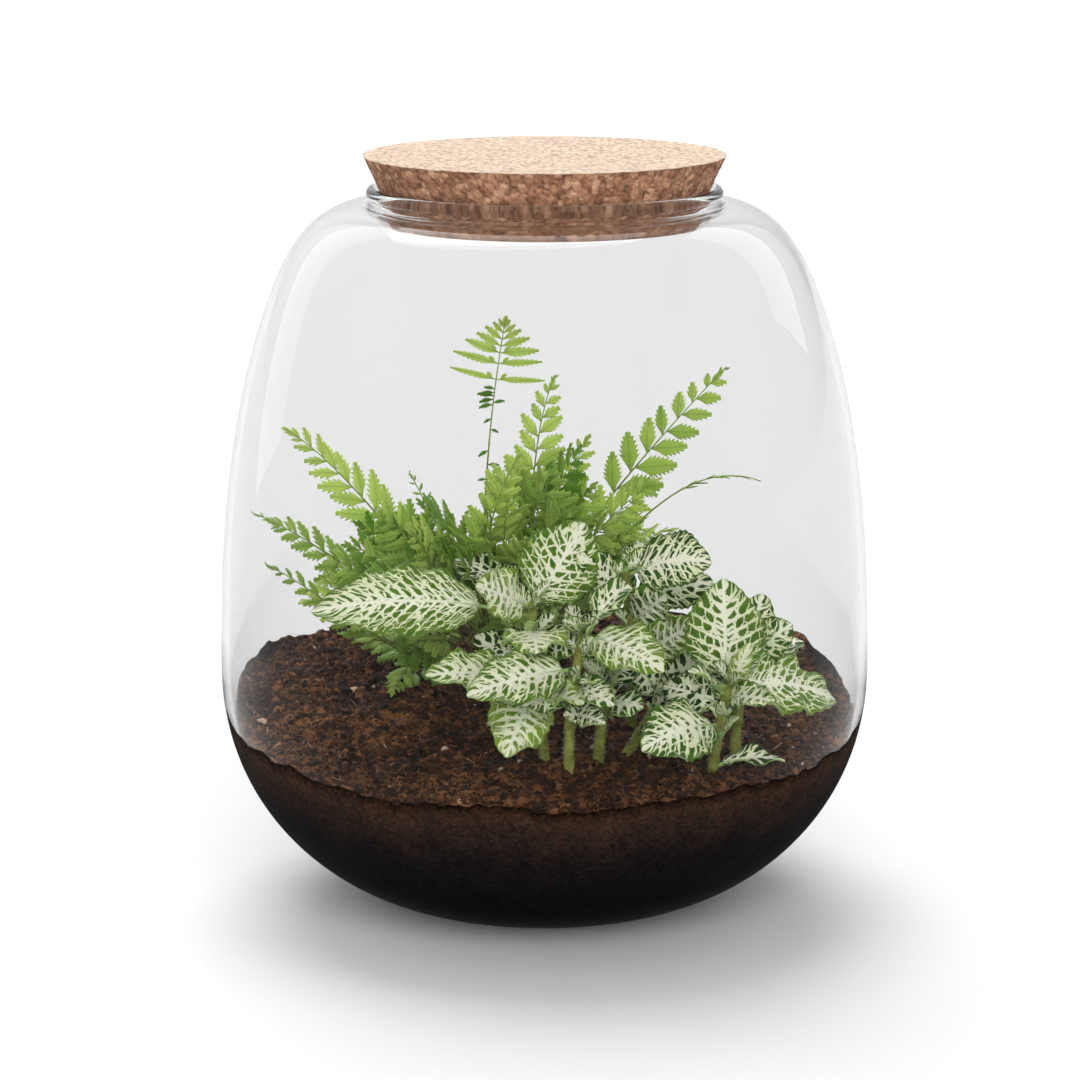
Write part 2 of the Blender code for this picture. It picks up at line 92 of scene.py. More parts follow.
# Fern fronds, number: tip, bow of the middle, seat azimuth and elevation on the crown in degrees,
# way the face looks
FROND_LINES = {
    1: ((-15, 20, 223), (-10, 4, 0), 140, 76, (0, -1, 0.15)),
    2: ((4, -10, 206), (-12, 0, 5), -20, 68, (-0.2, -1, 0.1)),
    3: ((17, 15, 178), (-6, 0, 12), 15, 48, (-0.2, -0.8, 0.5)),
    4: ((70, 10, 206), (-6, 0, 6), 35, 62, (-0.3, -1, 0.2)),
    5: ((83, -5, 164), (-14, 0, 61), -4, 46, (0, 0.22, 1)),
    6: ((38, -20, 153), (0, 0, 15), -32, 28, (0, -0.2, 1)),
    7: ((-98, -10, 185), (0, 0, 22), 190, 58, (0.3, -0.8, 0.55)),
    8: ((-104, -25, 153), (0, 0, 11), 200, 34, (0.1, -0.75, 0.65)),
    9: ((-114, 5, 150), (-8, 6, 16), 172, 38, (0, -0.5, 0.8)),
    10: ((-105, -34, 138), (0, -4, 3), 205, 12, (0, -0.7, 0.7)),
    11: ((-86, -8, 116), (0, 0, 4), 185, 10, (0, -0.3, 1)),
    12: ((-79, 22, 98), (0, 0, 6), 160, 12, (0, -0.5, 0.85)),
    13: ((-9, -45, 182), (-18, -2, 6), 240, 62, (0, -0.9, 0.35)),
    14: ((-52, -5, 168), (0, 0, 8), 215, 70, (0, -0.8, 0.5)),
    15: ((-50, -42, 152), (0, 0, 16), 232, 36, (0, -0.7, 0.7)),
    16: ((30, 82, 130), (0, 0, 16), 62, 20, (0, 0.2, 1)),
    17: ((-52, 84, 132), (0, 0, 16), 118, 22, (0, 0.2, 1)),
}

# How each frond's blade is cut: where the pinnae start, pinna pairs, longest pinna, pinna width over length,
# lean of the pinnae towards the tip in degrees, depth of their teeth, side sprigs under the blade, lightness
FROND_BLADES = {
    1: (0.80, 0, 19, 0.3, 16, 0.3, 0, 1.0),
    2: (0.50, 9, 17, 0.58, 40, 0.34, 4, 1.0),
    3: (0.42, 9, 16, 0.58, 42, 0.36, 4, 0.9),
    4: (0.50, 8, 20, 0.58, 42, 0.32, 3, 0.7),
    5: (0.66, 10, 7, 0.4, 60, 0.2, 0, 0.7),
    6: (0.35, 9, 15, 0.56, 42, 0.3, 4, 0.7),
    7: (0.24, 12, 24, 0.5, 50, 0.45, 4, 1.0),
    8: (0.24, 11, 22, 0.5, 48, 0.46, 4, 0.6),
    9: (0.66, 5, 7, 0.4, 45, 0.3, 2, 0.5),
    10: (0.45, 8, 12, 0.5, 48, 0.4, 3, 0.5),
    11: (0.35, 9, 12, 0.45, 50, 0.4, 2, 0.4),
    12: (0.30, 9, 16, 0.5, 50, 0.42, 3, 0.45),
    13: (0.34, 9, 18, 0.56, 42, 0.35, 4, 1.0),
    14: (0.74, 4, 5, 0.4, 40, 0.4, 1, 0.6),
    15: (0.30, 9, 18, 0.52, 42, 0.42, 4, 0.8),
    16: (0.32, 12, 16, 0.5, 44, 0.3, 4, 0.6),
    17: (0.32, 12, 16, 0.5, 44, 0.3, 4, 0.6),
}

# The tall frond's narrow pairs, from the lowest up: place along the frond, length, width over length,
# climb in degrees
TALL_FROND_PAIRS = (
    (0.814, 19, 0.17, 4), (0.861, 17.5, 0.21, 8), (0.893, 15, 0.32, 10), (0.914, 11.5, 0.38, 21),
    (0.934, 8.5, 0.44, 33), (0.954, 6, 0.5, 44), (0.971, 4, 0.55, 55),
)

# Its small curled leaflets: place along the frond, side, length
TALL_FROND_CURLS = (
    (0.785, -1, 4), (0.775, -1, 5), (0.765, -1, 6), (0.755, -1, 5), (0.745, 1, 4), (0.74, -1, 5),
    (0.70, -1, 3), (0.67, 1, 3), (0.61, -1, 4), (0.57, 1, 4), (0.53, -1, 3),
)

# Tips of the short young fronds that fill the middle of the fern
YOUNG_FROND_TIPS = (
    (-74, -26, 143), (-62, -28, 155), (-50, -34, 152), (-38, -24, 150), (-52, -40, 137), (-31, -40, 152),
    (-30, -46, 140), (-22, -30, 160), (-14, -40, 164), (-6, -46, 148), (3, -30, 172), (8, -38, 158),
    (18, -26, 166), (26, -34, 154), (35, -20, 160), (42, -14, 166), (-84, -22, 128), (12, -18, 178),
    (-40, -44, 146), (48, -18, 148), (-66, -38, 134), (-80, -30, 138), (-46, -20, 158), (-22, -42, 150),
    (-2, -24, 160), (14, -30, 150), (-58, -16, 150), (30, -24, 146), (-10, -16, 172), (-90, -28, 122),
    (-70, -12, 148),
)

# Fittonia stems: base on the soil (x, y), middle, top
STEMS = {
    1: ((9, -78), (8, -76, 96), (15, -68, 120)),
    2: ((0, -70), (-3, -66, 97), (-5, -52, 127)),
    3: ((20, -67), (20, -67, 82), (24, -66, 99)),
    4: ((31, -58), (38, -54, 81), (46, -48, 93)),
    5: ((62, -76), (63, -75, 82), (68, -72, 102)),
    6: ((71, -60), (72, -56, 90), (75, -50, 109)),
    7: ((33, -34), (34, -36, 108), (30, -38, 136)),
}

# Fittonia leaves: stem, height along it, tip, width, arch, petiole's share, way the face looks,
# then the fold of the halves, the edge's wave in mm, and how dark the ground is painted, as painted shade for
# leaves inside the plant
LEAVES = (
    (2, 0.93, (-86, -62, 126), 30, 0.14, 0.25, (0, -0.7, 0.7), 0.15, 0.8, 0.35),
    (2, 0.97, (-34, -26, 138), 20, 0.12, 0.2, (0, -0.4, 0.9), 0.2, 0.8, 0.8),
    (2, 0.97, (-25, -82, 140), 21, 0.1, 0.15, (-0.1, -0.9, 0.45), 0.25, 0.9, 0.2),
    (2, 0.84, (-3, -91, 117), 24, 0.14, 0.14, (0, -0.8, 0.6), 0.1, 1.1, 0.2),
    (2, 0.99, (15, -36, 154), 31, 0.06, 0.08, (0, -1, 0.3), 0.25, 0.9, 0.35),
    (2, 0.55, (-43, -92, 109), 18, 0.08, 0.25, (-0.1, -0.75, 0.65), 0.3, 1.0, 0.3),
    (1, 0.72, (-28, -102, 104), 22, 0.1, 0.12, (0, -0.8, 0.6), 0.25, 0.9, 0.35),
    (2, 0.5, (-14, -98, 80), 24, 0.1, 0.1, (-0.1, -0.95, 0.3), 0.2, 1.6, 0.1),
    (2, 0.42, (14, -98, 100), 11, 0.1, 0.15, (0, -0.7, 0.7), 0.4, 1.2, 0.1),
    (1, 0.96, (43, -94, 111), 22, 0.16, 0.1, (0.1, -0.75, 0.65), 0.2, 0.9, 0.25),
    (7, 0.66, (45, -56, 131), 20, 0.04, 0.12, (0, -1, 0.25), 0.2, 0.8, 0.5),
    (1, 0.99, (32, -56, 134), 13, 0.3, 0.2, (0, -0.6, 0.8), 0.5, 0.8, 0.5),
    (7, 0.98, (62, -51, 142), 25, 0.24, 0.12, (0.1, -0.75, 0.65), 0.15, 0.6, 0.6),
    (7, 0.42, (57, -64, 123), 16, 0.06, 0.12, (0.1, -0.9, 0.4), 0.2, 0.8, 0.3),
    (4, 0.98, (62, -45, 113), 17, 0.05, 0.08, (0, -0.9, 0.3), 0.15, 0.5, 0.9),
    (3, 0.98, (28, -62, 115), 19, 0.05, 0.05, (0, -1, 0.2), 0.15, 0.7, 0.75),
    (3, 0.9, (13, -83, 104), 9, 0.12, 0.1, (0, -0.5, 0.85), 0.4, 0.6, 0.6),
    (1, 0.85, (4, -60, 118), 7, 0.12, 0.1, (0, -0.6, 0.8), 0.4, 0.4, 0.6),
    (1, 0.92, (9, -52, 126), 9, 0.08, 0.1, (0, -0.7, 0.7), 0.4, 0.4, 0.7),
    (5, 0.97, (66, -60, 138), 30, 0.04, 0.08, (0, -1, 0.2), 0.12, 0.9, 0.4),
    (5, 0.99, (75, -78, 118), 8, 0.06, 0.08, (0, -1, 0.1), 0.5, 0.4, 0.0),
    (5, 0.93, (109, -42, 87), 26, 0.2, 0.08, (0.15, -0.7, 0.7), 0.15, 1.1, 0.3),
    (6, 0.86, (98, -30, 107), 17, 0.12, 0.1, (0, -0.4, 0.9), 0.2, 0.8, 0.7),
    (6, 0.99, (82, -36, 127), 16, 0.04, 0.1, (0, -0.9, 0.4), 0.2, 0.8, 0.6),
    (5, 0.88, (52, -90, 110), 9, 0.12, 0.1, (0, -0.5, 0.85), 0.4, 0.5, 0.5),
    (5, 0.76, (44, -60, 97), 19, 0.1, 0.08, (0, -0.75, 0.65), 0.15, 0.6, 0.9),
    (5, 0.55, (35, -100, 83), 25, 0.26, 0.08, (0, -0.8, 0.6), 0.1, 1.0, 0.5),
    (4, 0.55, (46, -80, 77), 14, 0.12, 0.1, (0, -0.7, 0.6), 0.15, 0.5, 0.8),
    (5, 0.4, (70, -95, 94), 6, 0.1, 0.1, (0, -0.7, 0.6), 0.4, 0.3, 0.3),
    (5, 0.04, (88, -77, 73), 10, 0.12, 0.08, (0, -0.35, 0.93), 0.35, 0.8, 0.8),
    (7, 0.86, (12, -20, 116), 20, 0.14, 0.12, (0, 0.3, 0.95), 0.2, 0.8, 0.6),
)

# Smaller leaves deep in the plant: stem, height along it, tip, width, fold, how dark they are painted, as
# painted shade
INNER_LEAVES = (
    (2, 0.7, (-20, -60, 108), 17, 0.2, 0.7), (2, 0.8, (14, -68, 113), 16, 0.2, 0.6),
    (2, 0.5, (-26, -50, 114), 19, 0.2, 0.7), (1, 0.55, (-8, -90, 97), 13, 0.2, 0.5),
    (1, 0.6, (25, -93, 98), 13, 0.3, 0.5), (1, 0.4, (22, -88, 90), 10, 0.3, 0.7),
    (3, 0.8, (36, -80, 94), 13, 0.2, 0.6), (3, 0.6, (7, -84, 92), 11, 0.3, 0.6),
    (4, 0.8, (57, -68, 99), 16, 0.2, 0.8), (4, 0.9, (30, -58, 106), 15, 0.2, 0.8),
    (7, 0.3, (16, -50, 104), 18, 0.2, 0.8), (7, 0.5, (50, -30, 116), 20, 0.2, 0.8),
    (7, 0.85, (12, -46, 144), 15, 0.2, 0.6), (7, 0.8, (64, -30, 130), 19, 0.2, 0.7),
    (6, 0.6, (56, -66, 100), 14, 0.2, 0.8), (6, 0.75, (94, -46, 99), 16, 0.2, 0.6),
    (6, 0.9, (92, -52, 119), 17, 0.2, 0.5), (5, 0.85, (82, -94, 100), 12, 0.3, 0.4),
)


# ---------------------------------------------------------------- colour and node helpers


def linear(code):
    """Linear RGB from an sRGB hex code such as #8db35a."""
    steps = [int(code[i : i + 2], 16) / 255 for i in (1, 3, 5)]
    return tuple(c / 12.92 if c <= 0.04045 else ((c + 0.055) / 1.055) ** 2.4 for c in steps)


def put(tree, kind, inputs=None, stops=(), **settings):
    """Adds a node with its settings. Each input gets a link, from a socket or a node's first output,
    or a plain value. stops are (place, hex colour or grey) pairs along a colour ramp."""
    made = tree.nodes.new(kind)
    for name, value in settings.items():
        setattr(made, name, value)
    for key, value in (inputs or {}).items():
        if isinstance(value, bpy.types.Node):
            value = value.outputs[0]
        if isinstance(value, bpy.types.NodeSocket):
            tree.links.new(value, made.inputs[key])
        else:
            made.inputs[key].default_value = value
    if stops:
        elements = made.color_ramp.elements
        for place, _ in stops[2:]:
            elements.new(place)
        for element, (place, colour) in zip(elements, stops):
            element.position = place
            rgb = linear(colour) if isinstance(colour, str) else (colour,) * 3
            element.color = (*rgb, 1.0)
    return made


def new_material(name):
    """An empty node material and its tree."""
    made = bpy.data.materials.new(name)
    made.use_nodes = True
    made.node_tree.nodes.clear()
    return made, made.node_tree


def stored(tree, name):
    """The three numbers that a mesh keeps for each of its points, as the sockets X, Y and Z."""
    kept = put(tree, "ShaderNodeAttribute", attribute_name=name)
    return put(tree, "ShaderNodeSeparateXYZ", {0: kept.outputs["Vector"]}).outputs


# ---------------------------------------------------------------- pattern numbers for mesh work


def hashed(cells, seed):
    """Three random numbers in 0..1 for each whole-number cell."""
    mask = np.uint64(0xFFFFFFFF)
    cells = cells.astype(np.int64).astype(np.uint64)
    mixed = cells[..., 0] * np.uint64(73856093) ^ cells[..., 1] * np.uint64(19349663)
    mixed = mixed ^ cells[..., 2] * np.uint64(83492791) ^ np.uint64(seed * 2654435761 + 97)
    numbers = []
    for k in range(3):
        value = (mixed + np.uint64(k * 374761393)) & mask
        value = ((value ^ (value >> np.uint64(15))) * np.uint64(2246822519)) & mask
        value = ((value ^ (value >> np.uint64(13))) * np.uint64(3266489917)) & mask
        numbers.append((value ^ (value >> np.uint64(16))) / 0xFFFFFFFF)
    return np.stack(numbers, -1)


def soft_noise(points, size, seed):
    """Smooth noise in -1..1 whose bumps are about size across."""
    scaled = points / size
    cell = np.floor(scaled)
    part = scaled - cell
    part = part * part * (3 - 2 * part)
    total = 0.0
    for corner in np.ndindex(2, 2, 2):
        step = np.array(corner)
        weight = np.prod(np.where(step == 1, part, 1 - part), axis=-1)
        total = total + weight * hashed(cell + step, seed)[..., 0]
    return total * 2 - 1


def grains(points, size, seed):
    """For packed grains of about this size: how far each point is from a crevice, and its grain's tone."""
    scaled = points / size
    cell = np.floor(scaled)
    first = np.full(len(points), 9.0)
    second = np.full(len(points), 9.0)
    tone = np.zeros(len(points))
    for corner in np.ndindex(3, 3, 3):
        at = cell + np.array(corner) - 1
        numbers = hashed(at, seed)
        distance = np.linalg.norm(at + numbers - scaled, axis=-1)
        nearer = distance < first
        second = np.where(nearer, first, np.minimum(second, distance))
        tone = np.where(nearer, numbers[..., 1] * 0.5 + numbers[..., 2] * 0.5, tone)
        first = np.where(nearer, distance, first)
    return second - first, tone


# ---------------------------------------------------------------- mesh helpers


class Shape:
    """Points, faces, a material slot for each face, and one vector of pattern numbers for each point."""

    def __init__(self):
        self.points, self.faces, self.slots, self.marks = [], [], [], []
        self.count = 0

    def add(self, points, faces, slot=0, marks=(0, 0, 0)):
        points = np.asarray(points, float).reshape(-1, 3)
        marks = np.broadcast_to(np.asarray(marks, float), (len(points), 3))
        self.points.append(points)
        self.marks.append(marks)
        self.faces += [tuple(int(v) + self.count for v in face) for face in faces]
        self.slots += [slot] * len(faces)
        self.count += len(points)

    def object(self, name, materials, smooth=True):
        """The shape as a mesh object in metres."""
        mesh = bpy.data.meshes.new(name)
        mesh.from_pydata((np.concatenate(self.points) * MM).tolist(), [], self.faces)
        mesh.attributes.new("marks", "FLOAT_VECTOR", "POINT").data.foreach_set(
            "vector", np.concatenate(self.marks).astype(np.float32).ravel()
        )
        mesh.polygons.foreach_set("material_index", self.slots)
        mesh.polygons.foreach_set("use_smooth", [smooth] * len(self.faces))
        mesh.update()
        made = bpy.data.objects.new(name, mesh)
        for material in materials:
            made.data.materials.append(material)
        bpy.context.scene.collection.objects.link(made)
        return made


def finish_piece(obj, slot, *nodes):
    """Hands a piece to the frame: it rides on the one body and stands for its CAD nodes."""
    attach(obj, "root")
    if nodes:
        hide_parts(*nodes)
    return obj


def bezier(points, count):
    """count points along a cubic Bezier curve, as an array."""
    return np.array([tuple(p) for p in interpolate_bezier(*[Vector(p) for p in points], count)])


def unit(vectors):
    return vectors / np.maximum(np.linalg.norm(vectors, axis=-1, keepdims=True), 1e-9)


def frames_along(line, face):
    """Direction, sideways direction and blade normal at each point of a line."""
    along = unit(np.gradient(line, axis=0))
    side = unit(np.cross(along, np.asarray(face, float)))
    return along, side, np.cross(side, along)


def at_shares(values, shares):
    """Rows of values at shares 0..1 of their length, interpolated."""
    places = np.asarray(shares) * (len(values) - 1)
    low = np.clip(np.floor(places).astype(int), 0, len(values) - 2)
    part = (places - low)[:, None]
    return values[low] * (1 - part) + values[low + 1] * part


def lathe(shape, profile, turns, slot=0, marks=(0, 0, 0)):
    """Closed turned solid from a profile that starts and ends on the axis, running down its outside."""
    angles = np.arange(turns) * 2 * math.pi / turns
    inner = np.array(profile[1:-1], float)
    rings = np.stack(
        [np.outer(inner[:, 0], np.cos(angles)), np.outer(inner[:, 0], np.sin(angles)),
         np.repeat(inner[:, 1:2], turns, axis=1)], -1,
    )
    points = np.vstack([rings.reshape(-1, 3), [[0, 0, profile[0][1]], [0, 0, profile[-1][1]]]])
    first, last = len(points) - 2, len(points) - 1
    faces = []
    for i in range(turns):
        j = (i + 1) % turns
        faces.append((first, i, j))
        for ring in range(len(inner) - 1):
            a, b = ring * turns, (ring + 1) * turns
            faces.append((a + i, b + i, b + j, a + j))
        low = (len(inner) - 1) * turns
        faces.append((low + j, low + i, last))
    shape.add(points, faces, slot, marks)


def ring_faces(count, sides):
    """Faces of a closed body made of count rings in a row, with a flat cap at each end."""
    faces = []
    for ring in range(count - 1):
        a, b = ring * sides, (ring + 1) * sides
        for i in range(sides):
            j = (i + 1) % sides
            faces.append((a + i, a + j, b + j, b + i))
    return [*faces, tuple(range(sides))[::-1], tuple(range((count - 1) * sides, count * sides))]


def tube(shape, line, radii, sides=8, slot=0, marks=(0, 0, 0)):
    """A round stem along a line, closed at both ends."""
    line = np.asarray(line, float)
    along = unit(np.gradient(line, axis=0))
    helper = np.array([0.37, 0.11, 0.2]) if abs(along[0][2]) > 0.5 else np.array([0.1, 0.2, 1.0])
    across = unit(np.cross(along, helper))
    other = np.cross(along, across)
    angles = np.arange(sides) * 2 * math.pi / sides
    radii = np.broadcast_to(np.asarray(radii, float), (len(line),))
    rings = line[:, None] + radii[:, None, None] * (
        across[:, None] * np.cos(angles)[None, :, None] + other[:, None] * np.sin(angles)[None, :, None]
    )
    if np.ndim(marks) == 2:
        marks = np.repeat(marks, sides, axis=0)
    shape.add(rings.reshape(-1, 3), ring_faces(len(line), sides), slot, marks)


def sheet(shape, grid, normals, thickness, marks, top=0, under=1):
    """A thin closed blade from a grid of points: its face, its underside and the rim between them."""
    rows, columns = grid.shape[:2]
    upper = grid.reshape(-1, 3)
    lower = upper - normals.reshape(-1, 3) * thickness
    count = rows * columns
    index = np.arange(count).reshape(rows, columns)
    a, b = index[:-1, :-1].ravel(), index[:-1, 1:].ravel()
    c, d = index[1:, 1:].ravel(), index[1:, :-1].ravel()
    faces = list(zip(a, b, c, d))
    backs = list(zip(d + count, c + count, b + count, a + count))
    edge = [*index[0, :], *index[1:, -1], *index[-1, -2::-1], *index[-2:0:-1, 0]]
    rim = [(edge[i - 1], edge[i - 1] + count, edge[i] + count, edge[i]) for i in range(len(edge))]
    start = shape.count
    shape.add(np.vstack([upper, lower]), faces, top, np.vstack([marks.reshape(-1, 3)] * 2))
    for extra in (backs, rim):
        shape.faces += [tuple(int(v) + start for v in face) for face in extra]
        shape.slots += [under] * len(extra)


# ---------------------------------------------------------------- settings a user would change


class JarSettings(bpy.types.PropertyGroup):
    tint: FloatVectorProperty(
        name="Tint", description="Colour the glass lets through", subtype="COLOR", size=3,
        min=0.0, max=1.0, default=linear("#eeeeee"),
    )
    turns: IntProperty(name="Smoothness", description="Sides of the turned jar", default=160, min=40, max=400)
    bend: FloatProperty(
        name="Bend", description="How much the wall bends light", default=1.2, min=1.0, max=2.0,
    )


class CorkSettings(bpy.types.PropertyGroup):
    granule: FloatProperty(
        name="Granule", description="Usual size of a cork granule", default=0.0032, min=0.001, unit="LENGTH",
    )
    relief: FloatProperty(
        name="Relief", description="Depth of the crevices between granules", default=0.0006, unit="LENGTH",
    )


class SoilSettings(bpy.types.PropertyGroup):
    clump: FloatProperty(
        name="Clump", description="Usual width of a soil clump", default=0.007, min=0.001, unit="LENGTH",
    )
    fibres: IntProperty(
        name="Fibres", description="Peat and coir fibres on the surface", default=26000, min=0,
    )
    crumbs: IntProperty(name="Crumbs", description="Loose crumbs on the surface", default=14000, min=0)


class FernSettings(bpy.types.PropertyGroup):
    young: FloatVectorProperty(
        name="Young green", description="Colour of the lightest fronds", subtype="COLOR", size=3,
        min=0.0, max=1.0, default=linear("#cee57a"),
    )
    old: FloatVectorProperty(
        name="Old green", description="Colour of the darkest fronds", subtype="COLOR", size=3,
        min=0.0, max=1.0, default=linear("#5a960e"),
    )
    thickness: FloatProperty(
        name="Thickness", description="Thickness of a pinna", default=0.0002, min=0.00005, unit="LENGTH",
    )


class VeinedPlantSettings(bpy.types.PropertyGroup):
    vein: FloatVectorProperty(
        name="Veins", description="Colour of the veins", subtype="COLOR", size=3,
        min=0.0, max=1.0, default=linear("#fcfde6"),
    )
    thickness: FloatProperty(
        name="Thickness", description="Thickness of a leaf", default=0.00035, min=0.0001, unit="LENGTH",
    )
    rib_spacing: FloatProperty(
        name="Rib spacing", description="Gap between side veins at the midrib", default=0.0042,
        min=0.001, unit="LENGTH",
    )


class StudioSettings(bpy.types.PropertyGroup):
    horizon: FloatProperty(
        name="Horizon", description="Brightness of the studio's walls", default=0.33, min=0.0,
    )
    ceiling: FloatProperty(
        name="Ceiling", description="Brightness of the studio's ceiling", default=0.66, min=0.0,
    )
    high_light: FloatProperty(
        name="High light", description="Strength of the broad light above and behind", default=2.0, min=0.0,
    )
    fill_light: FloatProperty(
        name="Fill light", description="Strength of the broad light in front", default=2.3, min=0.0,
    )


# ---------------------------------------------------------------- glass jar


def jar_outline(step_share=1):
    """Outer outline of the jar as (radius, height), from the foot's edge up to the neck."""
    lean = Vector((-math.sin(SHOULDER_LEAN), math.cos(SHOULDER_LEAN)))
    belly, shoulder, neck = Vector((BELLY_RADIUS, BELLY_HEIGHT)), Vector(SHOULDER), Vector(NECK)
    foot = Vector((FOOT_RADIUS, 0))
    parts = (
        (foot, foot + Vector((34, 0)), belly - Vector((0, 60)), belly, 8),
        (belly, belly + Vector((0, 65)), shoulder - lean * 38, shoulder, 6),
        (shoulder, shoulder + lean * 21, neck + Vector((19, 0)), neck, 6),
    )
    outline = []
    for *ends, count in parts:
        points = [
            Vector(p[:2]) for p in bezier([(e.x, e.y, 0) for e in ends], (count - 1) * step_share + 1)
        ]
        outline += points if not outline else points[1:]
    return outline


def jar_inside(step_share=1):
    """The outline moved in by the wall's thickness."""
    outline = jar_outline(step_share)
    moved = []
    for i, point in enumerate(outline):
        along = outline[min(i + 1, len(outline) - 1)] - outline[max(i - 1, 0)]
        if i in (0, len(outline) - 1):
            along = Vector((1, 0)) if i == 0 else Vector((-1, 0))
        moved.append(point + Vector((-along.y, along.x)).normalized() * WALL)
    return moved


INSIDE = np.array([tuple(p) for p in jar_inside(6)])


def wall_radius(heights):
    """Radius of the jar's inner wall at these heights."""
    return np.interp(heights, INSIDE[:, 1], INSIDE[:, 0])


def cork_radius(height):
    share = (height - CORK_BOTTOM[1]) / (CORK_TOP[1] - CORK_BOTTOM[1])
    return CORK_BOTTOM[0] + share * (CORK_TOP[0] - CORK_BOTTOM[0])


def blown_glass(settings):
    """Clear soda-lime glass, blown and fire polished: smooth, a trace of grey in its 3 mm wall. The index is
    set below the usual 1.5, so the wall bends and mirrors less and the planting shows through it clearly.
    Lamps reach through it to the plants, so shadows inside stay soft and light."""
    made, tree = new_material("soda_lime_glass")
    glass = put(tree, "ShaderNodeBsdfPrincipled", {
        "Base Color": (*settings.tint, 1), "Roughness": 0.0, "IOR": settings.bend, "Transmission Weight": 1.0,
    })
    clear = put(tree, "ShaderNodeBsdfTransparent", {"Color": (0.97, 0.97, 0.97, 1)})
    path = put(tree, "ShaderNodeLightPath")
    mixed = put(tree, "ShaderNodeMixShader", {
        0: path.outputs["Is Shadow Ray"], 1: glass, 2: clear,
    })
    put(tree, "ShaderNodeOutputMaterial", {"Surface": mixed})
    return made


class TERRARIUM_OT_glass_jar(bpy.types.Operator):
    """Turn the blown glass jar with its rolled lip"""

    bl_idname = "terrarium.glass_jar"
    bl_label = "Glass jar"

    def execute(self, context):
        settings = context.scene.terrarium_jar
        taper = (CORK_TOP[0] - CORK_BOTTOM[0]) / (CORK_TOP[1] - CORK_BOTTOM[1])
        lip_at = cork_radius(LIP_HEIGHT) + (LIP_RADIUS + CLEARANCE) * math.hypot(1, taper)
        angles = [math.radians(a) for a in range(180, -71, -10)]
        lip = [(lip_at + LIP_RADIUS * math.cos(a), LIP_HEIGHT + LIP_RADIUS * math.sin(a)) for a in angles]
        inside = [tuple(p) for p in jar_inside(6)]
        last = inside[-1]
        steps = ((1.0, 1.2), (0.25, 2.4), (0.04, 4.0))
        throat = [(lip[0][0] + out_by, last[1] + up_by) for out_by, up_by in steps]
        outside = [tuple(p) for p in reversed(jar_outline(6))]
        shape = Shape()
        profile = [(0, WALL)] + inside + throat + lip + outside + [(0, 0)]
        lathe(shape, profile, settings.turns)
        finish_piece(shape.object("jar", [blown_glass(settings)]), "clear_glass", "glass_jar")
        return {"FINISHED"}


# ---------------------------------------------------------------- cork stopper


def pressed_cork(settings):
    """Agglomerated cork: granules of bark pressed together with binder. The crumbly cut side is brown, with
    painted shade darkening the crevices between granules; the top is even, with fine grain, and painted paler
    as painted light from above."""
    made, tree = new_material("agglomerated_cork")
    parts = stored(tree, "marks")
    place = put(tree, "ShaderNodeTexCoord")
    fine = put(tree, "ShaderNodeTexNoise", {
        "Vector": place.outputs["Object"], "Scale": 1 / 0.0012, "Detail": 4.0,
    })
    pores = put(tree, "ShaderNodeTexVoronoi", {"Vector": place.outputs["Object"], "Scale": 1 / 0.0016})
    tone = put(tree, "ShaderNodeMath", {0: fine.outputs["Fac"], 1: 0.45, 2: parts["X"]},
               operation="MULTIPLY_ADD")
    side = put(tree, "ShaderNodeValToRGB", {"Fac": tone}, stops=[
        (0.15, "#4e3428"), (0.45, "#875e48"), (0.7, "#ab7d62"), (0.95, "#cfa484"),
    ])
    # painted light: the top face gets this paler ramp, as if lit from above
    top = put(tree, "ShaderNodeValToRGB", {"Fac": tone}, stops=[
        (0.15, "#c09c82"), (0.4, "#d2b69f"), (0.7, "#dac2ac"), (0.95, "#e2cebb"),
    ])
    painted_top_light = put(tree, "ShaderNodeMix", {0: parts["Z"], 6: side, 7: top}, data_type="RGBA")
    # painted shade: darkens the colour in the crevices between granules
    gap = put(tree, "ShaderNodeValToRGB", {"Fac": parts["Y"]}, stops=[(0.0, 0.35), (0.12, 0.8), (0.3, 1.0)])
    lit = put(tree, "ShaderNodeMix", {0: 1.0, 6: painted_top_light.outputs[2], 7: gap},
              data_type="RGBA", blend_type="MULTIPLY")
    speck = put(tree, "ShaderNodeValToRGB", {"Fac": pores.outputs["Distance"]},
                stops=[(0.0, 0.72), (0.18, 1.0)])
    specked = put(tree, "ShaderNodeMix", {0: 1.0, 6: lit.outputs[2], 7: speck},
                  data_type="RGBA", blend_type="MULTIPLY")
    bump = put(tree, "ShaderNodeBump", {
        "Strength": 0.5, "Distance": 0.0004, "Height": fine.outputs["Fac"],
    })
    shader = put(tree, "ShaderNodeBsdfPrincipled", {
        "Base Color": specked.outputs[2], "Roughness": 0.9, "Normal": bump,
        "Specular IOR Level": 0.2,
    })
    put(tree, "ShaderNodeOutputMaterial", {"Surface": shader})
    return made


